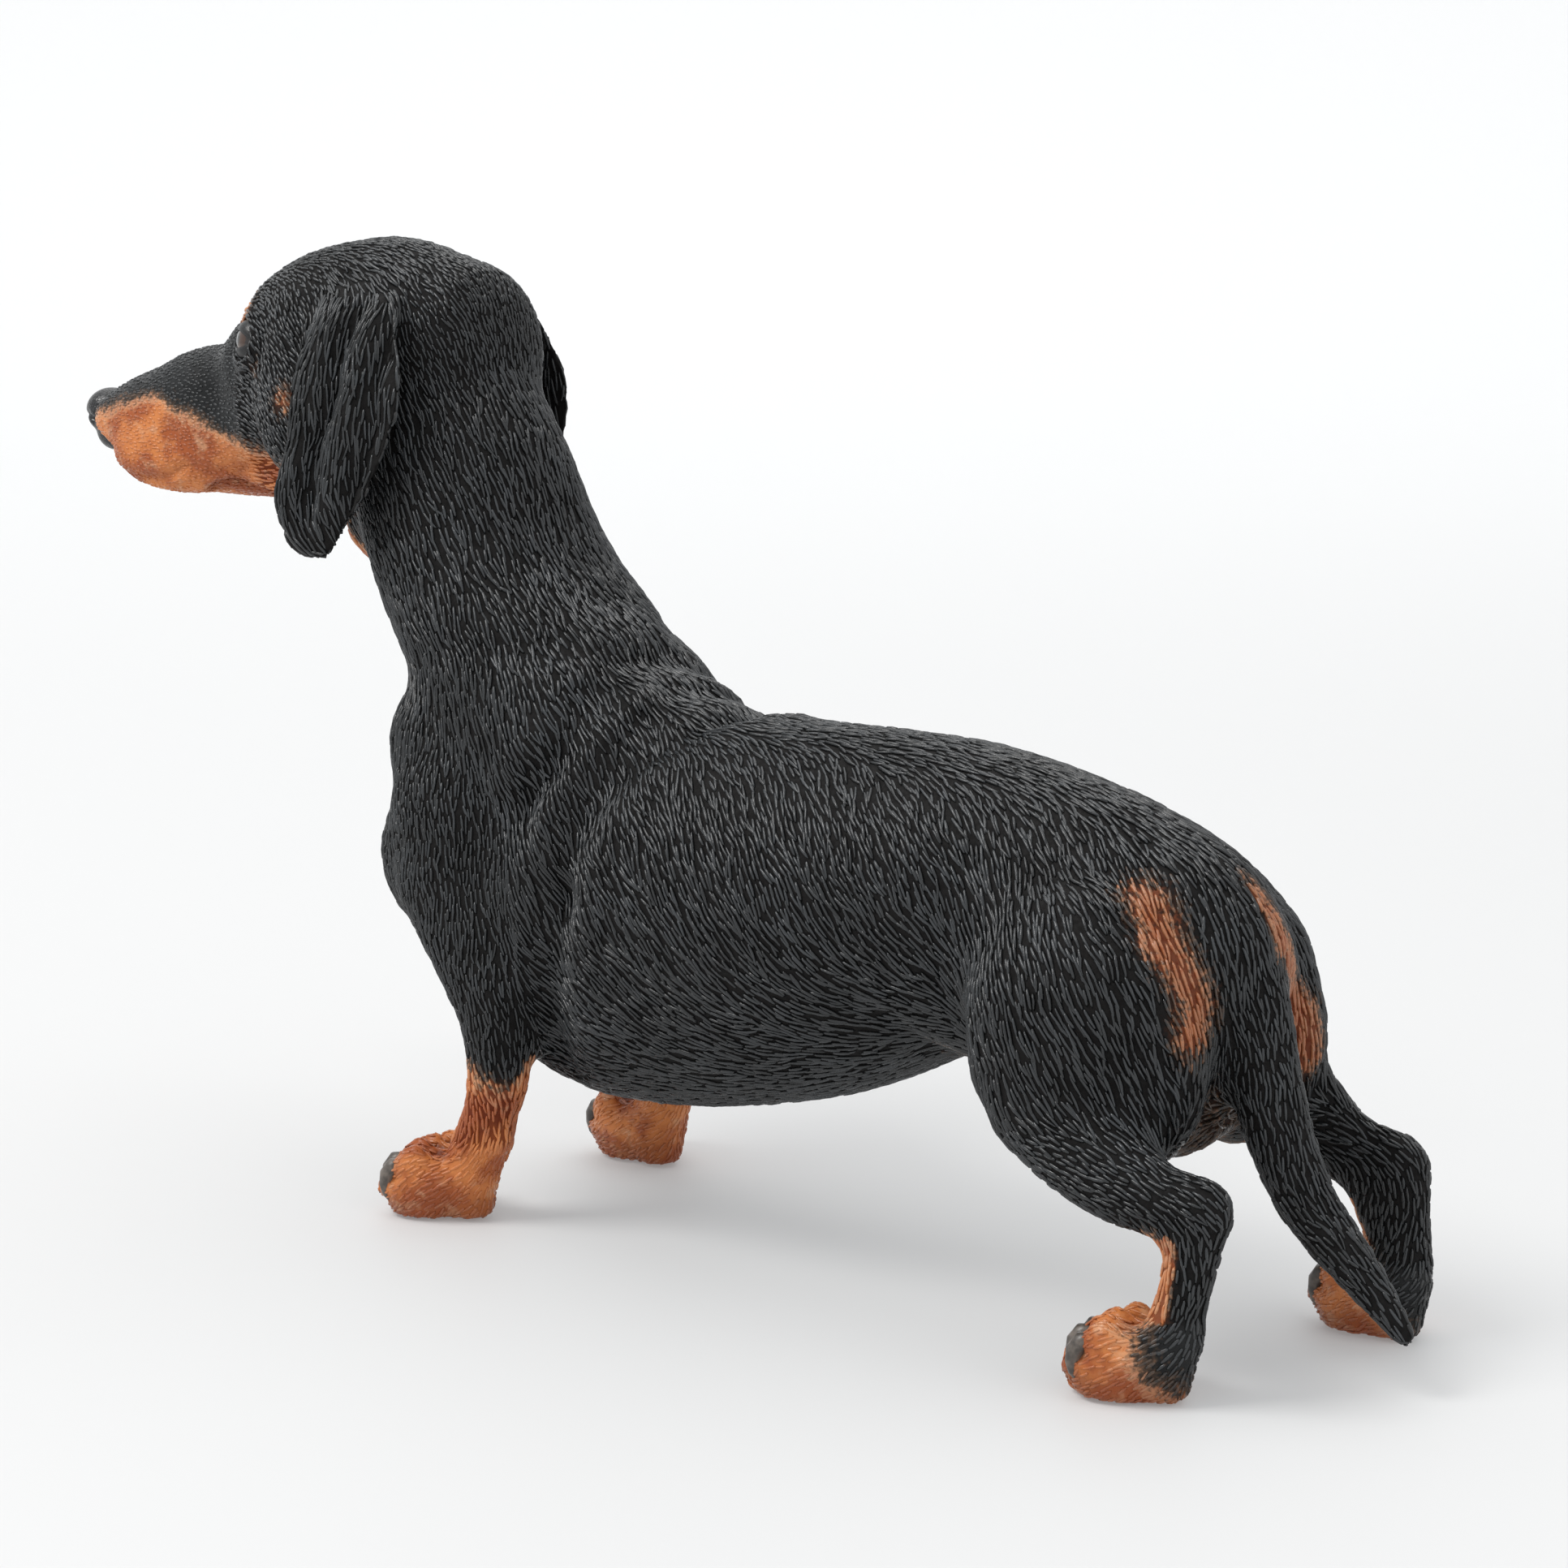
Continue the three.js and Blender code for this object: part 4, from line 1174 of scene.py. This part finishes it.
def coat_paint(name, shine):
    """Charcoal and tan satin paint: blue-grey on the hair's crests, as worn paint and a painted highlight,
    and painted shade in the hollows and between the hairs.
    """
    material, tree = new_material(name)
    if tree is None:
        return material
    look = bpy.context.scene.dachshund_paint
    nodes = Nodes(tree)
    ridge = nodes.value("ridge")
    patch = nodes.noise(3.2, 3, 0.11)
    speck = nodes.noise(0.40, 2, 0.23)
    wear_and_highlight_patches = nodes.noise(7.0, 3, 0.31)
    wander = nodes.maths("MULTIPLY", nodes.maths("SUBTRACT", speck, 0.5), 0.7)
    edge = nodes.maths("ADD", nodes.value("tan"), wander)
    black = nodes.mix(nodes.span(patch, 0.35, 0.7), tuple(look.coat_dark), tuple(look.coat_mid))
    # Blue-grey on the crests of the hair, in patches: partly worn paint and partly a painted highlight.
    crest = nodes.maths("MULTIPLY", nodes.span(ridge, 0.35, 0.95), nodes.span(wear_and_highlight_patches, 0.3, 0.7, 0.35, 1.0))
    black = nodes.mix(crest, black, tuple(look.coat_crest_wear_and_highlight))
    tan = nodes.mix(nodes.span(patch, 0.40, 0.62), tuple(look.tan_deep), tuple(look.tan_mid))
    pale_patch = nodes.span(nodes.noise(1.6, 2, 0.57), 0.56, 0.74, 0.0, 0.6)
    pale_edge = nodes.span(edge, 0.85, 0.55, 0.0, 0.6)
    tan = nodes.mix(nodes.maths("MAXIMUM", pale_patch, pale_edge), tan, tuple(look.tan_pale))
    tan = nodes.mix(nodes.span(speck, 0.60, 0.74, 0.0, 0.4), tan, tuple(look.tan_deep))
    colour = nodes.mix(nodes.span(edge, 0.14, 0.40), black, tuple(look.brown_edge))
    colour = nodes.mix(nodes.span(edge, 0.36, 0.62), colour, tan)
    # Brown darkening of the tan stripes by the tail, the mouth line, and the paws towards the floor.
    brown_darkening = nodes.maths("MULTIPLY", nodes.value("brown_darkening"), nodes.span(patch, 0.35, 0.6, 0.4, 1.0))
    colour = nodes.mix(brown_darkening, colour, (0.36, 0.22, 0.16), "MULTIPLY")
    # Painted shade in the skin's folds and hollows.
    hollow = nodes.span(nodes.value("hollow"), 0.1, 0.9, 0.0, 0.75)
    colour = nodes.mix(hollow, colour, (0.25, 0.14, 0.10), "MULTIPLY")
    # Painted shade at the feet of the hairs and on the bare skin between them.
    groove = nodes.span(ridge, 0.38, 0.04, 0.0, 0.9)
    colour = nodes.mix(groove, colour, (0.30, 0.16, 0.12), "MULTIPLY")
    nodes.link(colour, nodes.shader.inputs["Base Color"])
    rough = nodes.span(speck, 0.3, 0.7, look.roughness - 0.05, look.roughness + 0.08)
    rough = nodes.maths("ADD", rough, nodes.span(ridge, 0.35, 0.0, 0.0, 0.5))
    nodes.link(rough, nodes.shader.inputs["Roughness"])
    grain = nodes.bump(nodes.noise(0.20, 3, 0.9), 0.030, 0.8)
    nodes.link(nodes.bump(nodes.noise(0.8, 2, 0.4), 0.05, 0.6, grain), nodes.shader.inputs["Normal"])
    nodes.shader.inputs["Specular IOR Level"].default_value = shine
    return material


def nose_gloss():
    """Black pebbled leather under gloss."""
    material, tree = new_material("nose_gloss")
    if tree is None:
        return material
    nodes = Nodes(tree)
    cells = nodes.add("ShaderNodeTexVoronoi", feature="DISTANCE_TO_EDGE")
    nodes.link(nodes.place, cells.inputs["Vector"])
    cells.inputs["Scale"].default_value = 1000 / 0.42
    pebble = nodes.span(cells.outputs["Distance"], 0.0, 0.25)
    # The cracks between the pebbles are painted darker, a painted shade.
    leather = nodes.mix(pebble, (0.004, 0.004, 0.004), (0.016, 0.016, 0.018))
    nodes.link(leather, nodes.shader.inputs["Base Color"])
    nodes.link(nodes.span(nodes.noise(0.8), 0.3, 0.7, 0.12, 0.24), nodes.shader.inputs["Roughness"])
    nodes.link(nodes.bump(pebble, 0.03, 0.7), nodes.shader.inputs["Normal"])
    return material


def eye_gloss(side):
    """Dark brown iris round a black pupil, under clear gloss."""
    material, tree = new_material("eye_gloss_left" if side > 0 else "eye_gloss_right")
    if tree is None:
        return material
    nodes = Nodes(tree)
    out = eye_axes(side)[0]
    centre = to_row(from_head(EYE_PLACE * (1, side, 1)))
    offset = nodes.add("ShaderNodeVectorMath", operation="SUBTRACT")
    nodes.link(nodes.place, offset.inputs[0])
    offset.inputs[1].default_value = tuple(centre)
    facing = nodes.add("ShaderNodeVectorMath", operation="DOT_PRODUCT")
    nodes.link(offset.outputs[0], facing.inputs[0])
    facing.inputs[1].default_value = tuple(out / (EYE_RADIUS / 1000))
    ahead = facing.outputs["Value"]
    iris = nodes.mix(nodes.noise(0.25, 3, 0.2), (0.028, 0.010, 0.004), (0.060, 0.024, 0.009))
    colour = nodes.mix(nodes.span(ahead, 0.93, 0.95), iris, (0.002, 0.002, 0.002))
    colour = nodes.mix(nodes.span(ahead, 0.70, 0.74), (0.010, 0.006, 0.005), colour)
    nodes.link(colour, nodes.shader.inputs["Base Color"])
    nodes.shader.inputs["Roughness"].default_value = 0.08
    nodes.shader.inputs["Coat Weight"].default_value = 0.6
    return material


def claw_paint():
    """Grey-brown horn."""
    material, tree = new_material("claw_paint")
    if tree is None:
        return material
    nodes = Nodes(tree)
    patch = nodes.span(nodes.noise(0.8, 3, 0.5), 0.35, 0.7)
    colour = nodes.mix(patch, (0.050, 0.042, 0.036), (0.150, 0.125, 0.105))
    nodes.link(colour, nodes.shader.inputs["Base Color"])
    nodes.link(nodes.span(nodes.noise(0.5), 0.3, 0.7, 0.3, 0.45), nodes.shader.inputs["Roughness"])
    nodes.link(nodes.bump(nodes.noise(0.3, 3), 0.02, 0.6), nodes.shader.inputs["Normal"])
    return material


def floor_paint():
    """Pale paper that gives off a little light of its own, as an overexposed backdrop seems to, with painted
    shade that darkens it towards the camera.
    """
    material, tree = new_material("floor_paint")
    if tree is None:
        return material
    nodes = Nodes(tree)
    reach = nodes.add("ShaderNodeVectorMath", operation="DOT_PRODUCT")
    nodes.link(nodes.place, reach.inputs[0])
    reach.inputs[1].default_value = tuple(unit(camera_axes()[0] * (1, 1, 0)))
    # Painted shade: darker on the floor near the camera and paler up the wall; the near floor also glows a
    # little more.
    far = nodes.span(reach.outputs["Value"], 0.1, 1.1)
    nodes.link(nodes.mix(far, (0.50, 0.50, 0.50), (0.84, 0.84, 0.84)), nodes.shader.inputs["Base Color"])
    glow = nodes.mix(far, (0.80, 0.81, 0.82), (0.62, 0.63, 0.63))
    nodes.link(glow, nodes.shader.inputs["Emission Color"])
    nodes.shader.inputs["Emission Strength"].default_value = BACKDROP_GLOW
    nodes.shader.inputs["Roughness"].default_value = 0.6
    nodes.shader.inputs["Specular IOR Level"].default_value = 0.25
    return material


# Stage.


def build_stage(settings):
    forward, right, _ = camera_axes()
    level = unit(forward * (1, 1, 0))
    profile = [(BACKDROP_NEAR, 0.0), (BACKDROP_BEND, 0.0)]
    for angle in np.linspace(0.05, math.pi / 2, 24):
        rise = BACKDROP_RADIUS - BACKDROP_RADIUS * math.cos(angle)
        profile.append((BACKDROP_BEND + BACKDROP_RADIUS * math.sin(angle), rise))
    profile.append((BACKDROP_BEND + BACKDROP_RADIUS, BACKDROP_TOP))
    points, faces = [], []
    for reach, height in profile:
        for side in (-BACKDROP_HALF_WIDTH, BACKDROP_HALF_WIDTH):
            points.append(level * reach + right * side + (0, 0, height))
    for i in range(len(profile) - 1):
        faces.append((2 * i, 2 * i + 1, 2 * i + 3, 2 * i + 2))
    mesh = bpy.data.meshes.new("backdrop")
    mesh.from_pydata([tuple(p) for p in points], [], faces)
    for polygon in mesh.polygons:
        polygon.use_smooth = True
    floor = add_object("backdrop", mesh)
    floor.data.materials.append(floor_paint())

    world = bpy.context.scene.world or bpy.data.worlds.new("studio")
    bpy.context.scene.world = world
    world.use_nodes = True
    background = world.node_tree.nodes["Background"]
    background.inputs["Color"].default_value = (0.97, 0.985, 1.0, 1)
    background.inputs["Strength"].default_value = settings.ambient
    aim = Vector(to_row([5, 0, 35]))
    for name, place, size, power in (
        ("key", level * -0.12 - right * 0.42 + (0, 0, 0.62), 0.34, settings.key),
        ("top", level * 0.25 + right * 0.05 + (0, 0, 0.75), 0.9, settings.top),
        ("fill", level * -0.5 + right * 0.45 + (0, 0, 0.3), 0.5, settings.fill),
    ):
        lamp = bpy.data.lights.new(name, "AREA")
        lamp.shape = "SQUARE"
        lamp.size = size
        lamp.energy = power
        lamp.color = (1.0, 0.99, 0.97)
        obj = add_object(name, lamp)
        obj.location = Vector(place)
        obj.rotation_euler = (aim - obj.location).to_track_quat("-Z", "Y").to_euler()

    lens = bpy.data.cameras.new("camera")
    lens.sensor_width = SENSOR_WIDTH
    lens.sensor_fit = "HORIZONTAL"
    lens.lens = FOCAL_PIXELS / PHOTO_SIDE * SENSOR_WIDTH
    lens.clip_start = 0.01
    camera = add_object("camera", lens)
    camera.location = Vector(to_row(CAMERA_PLACE))
    camera.rotation_euler = Vector(forward).to_track_quat("-Z", "Y").to_euler()
    bpy.context.scene.camera = camera
    bpy.context.scene.view_settings.view_transform = "Standard"


# Add-on.


def millimetres(name, default, words):
    return bpy.props.FloatProperty(name=name, description=words, default=default, min=0.0, precision=3)


def colour(name, default, words):
    return bpy.props.FloatVectorProperty(
        name=name, description=words, default=default, size=3, subtype="COLOR", min=0.0, max=1.0
    )


def usual(name, words):
    return bpy.props.FloatProperty(name=name, description=words, default=1.0)


def watts(name, default, words):
    return bpy.props.FloatProperty(name=name, description=words, default=default, unit="POWER")


class DachshundSkin(bpy.types.PropertyGroup):
    grain: millimetres("Grain", 0.42, "Size of the skin's faces, in millimetres")
    swell: millimetres("Swell", 0.25, "How far each part grows to meet its neighbours, in millimetres")
    coat_depth: millimetres("Coat depth", 0.18, "How far the skin lies inside the solids, in millimetres")
    softening: bpy.props.IntProperty(
        name="Softening", description="Rounds of smoothing of the solids' facets", default=60, min=0
    )


class DachshundHair(bpy.types.PropertyGroup):
    length: usual("Length", "Hair length over its usual one")
    width: usual("Width", "Hair width over its usual one")
    height: usual("Height", "Relief of the hair over its usual one")
    density: usual("Density", "Hairs to an area over the usual")


class DachshundPaint(bpy.types.PropertyGroup):
    coat_dark: colour("Coat, dark", (0.0045, 0.0050, 0.0054), "Charcoal paint at its darkest")
    coat_mid: colour("Coat", (0.0085, 0.0095, 0.0102), "Charcoal paint")
    # Blue-grey on the crests of the hair: partly worn paint and partly a painted highlight.
    coat_crest_wear_and_highlight: colour("Coat, crests", (0.033, 0.037, 0.041), "Worn blue-grey on the crests of the hair")
    brown_edge: colour("Edge brown", (0.075, 0.045, 0.028), "Khaki brown between black and tan")
    tan_deep: colour("Tan, deep", (0.34, 0.085, 0.024), "Reddish brown patches of the tan")
    tan_mid: colour("Tan", (0.58, 0.20, 0.060), "Orange-brown paint")
    tan_pale: colour("Tan, pale", (0.62, 0.34, 0.19), "Pale patches of the tan")
    roughness: bpy.props.FloatProperty(
        name="Roughness",
        description="How matt the satin paint is",
        default=0.27,
        min=0.1,
        max=1.0,
        subtype="FACTOR",
    )


class DachshundStage(bpy.types.PropertyGroup):
    key: watts("Key", 3.0, "Softbox at the front left")
    top: watts("Top", 2.0, "Softbox overhead")
    fill: watts("Fill", 0.5, "Softbox behind the camera")
    ambient: bpy.props.FloatProperty(
        name="Ambient", description="Strength of the white surroundings", default=0.84
    )


class DACHSHUND_OT_skin(bpy.types.Operator):
    """One skin over the body, head, ears, legs and tail, with its folds and markings"""

    bl_idname = "dachshund.skin"
    bl_label = "Skin"

    def execute(self, context):
        build_skin(context.scene.dachshund_skin)
        return {"FINISHED"}


class DACHSHUND_OT_hair(bpy.types.Operator):
    """Carved hair over the skin, along the lie of the coat"""

    bl_idname = "dachshund.hair"
    bl_label = "Carved hair"

    def execute(self, context):
        build_hair(bpy.data.objects["skin"], context.scene.dachshund_hair)
        return {"FINISHED"}


class DACHSHUND_OT_eyes(bpy.types.Operator):
    """Eyeballs and eyelids"""

    bl_idname = "dachshund.eyes"
    bl_label = "Eyes"

    def execute(self, context):
        build_eyes()
        return {"FINISHED"}


class DACHSHUND_OT_nose(bpy.types.Operator):
    """Nose leather with its nostrils"""

    bl_idname = "dachshund.nose"
    bl_label = "Nose"

    def execute(self, context):
        build_nose()
        return {"FINISHED"}


class DACHSHUND_OT_claws(bpy.types.Operator):
    """Four claws on each paw"""

    bl_idname = "dachshund.claws"
    bl_label = "Claws"

    def execute(self, context):
        build_claws()
        return {"FINISHED"}


class DACHSHUND_OT_stage(bpy.types.Operator):
    """Pale floor and backdrop, soft lights and the camera"""

    bl_idname = "dachshund.stage"
    bl_label = "Stage"

    def execute(self, context):
        build_stage(context.scene.dachshund_stage)
        return {"FINISHED"}


OPERATORS = (
    DACHSHUND_OT_stage,
    DACHSHUND_OT_skin,
    DACHSHUND_OT_hair,
    DACHSHUND_OT_eyes,
    DACHSHUND_OT_nose,
    DACHSHUND_OT_claws,
)


class DACHSHUND_PT_panel(bpy.types.Panel):
    """Lists the pieces of the figurine and their settings"""

    bl_idname = "DACHSHUND_PT_panel"
    bl_label = "Dachshund figurine"
    bl_space_type = "VIEW_3D"
    bl_region_type = "UI"
    bl_category = "Dachshund"

    def draw(self, context):
        for operator in OPERATORS:
            self.layout.operator(operator.bl_idname)
        for name, group in GROUPS.items():
            box = self.layout.box()
            for item in group.__annotations__:
                box.prop(getattr(context.scene, name), item)


GROUPS = {
    "dachshund_skin": DachshundSkin,
    "dachshund_hair": DachshundHair,
    "dachshund_paint": DachshundPaint,
    "dachshund_stage": DachshundStage,
}


def register():
    for item in (*GROUPS.values(), *OPERATORS, DACHSHUND_PT_panel):
        bpy.utils.register_class(item)
    for name, group in GROUPS.items():
        setattr(bpy.types.Scene, name, bpy.props.PointerProperty(type=group))


def unregister():
    for name in GROUPS:
        delattr(bpy.types.Scene, name)
    for item in (DACHSHUND_PT_panel, *OPERATORS, *GROUPS.values()):
        bpy.utils.unregister_class(item)


def main():
    register()
    for operator in OPERATORS:
        group, name = operator.bl_idname.split(".")
        getattr(getattr(bpy.ops, group), name)()


if __name__ == "__main__":
    main()
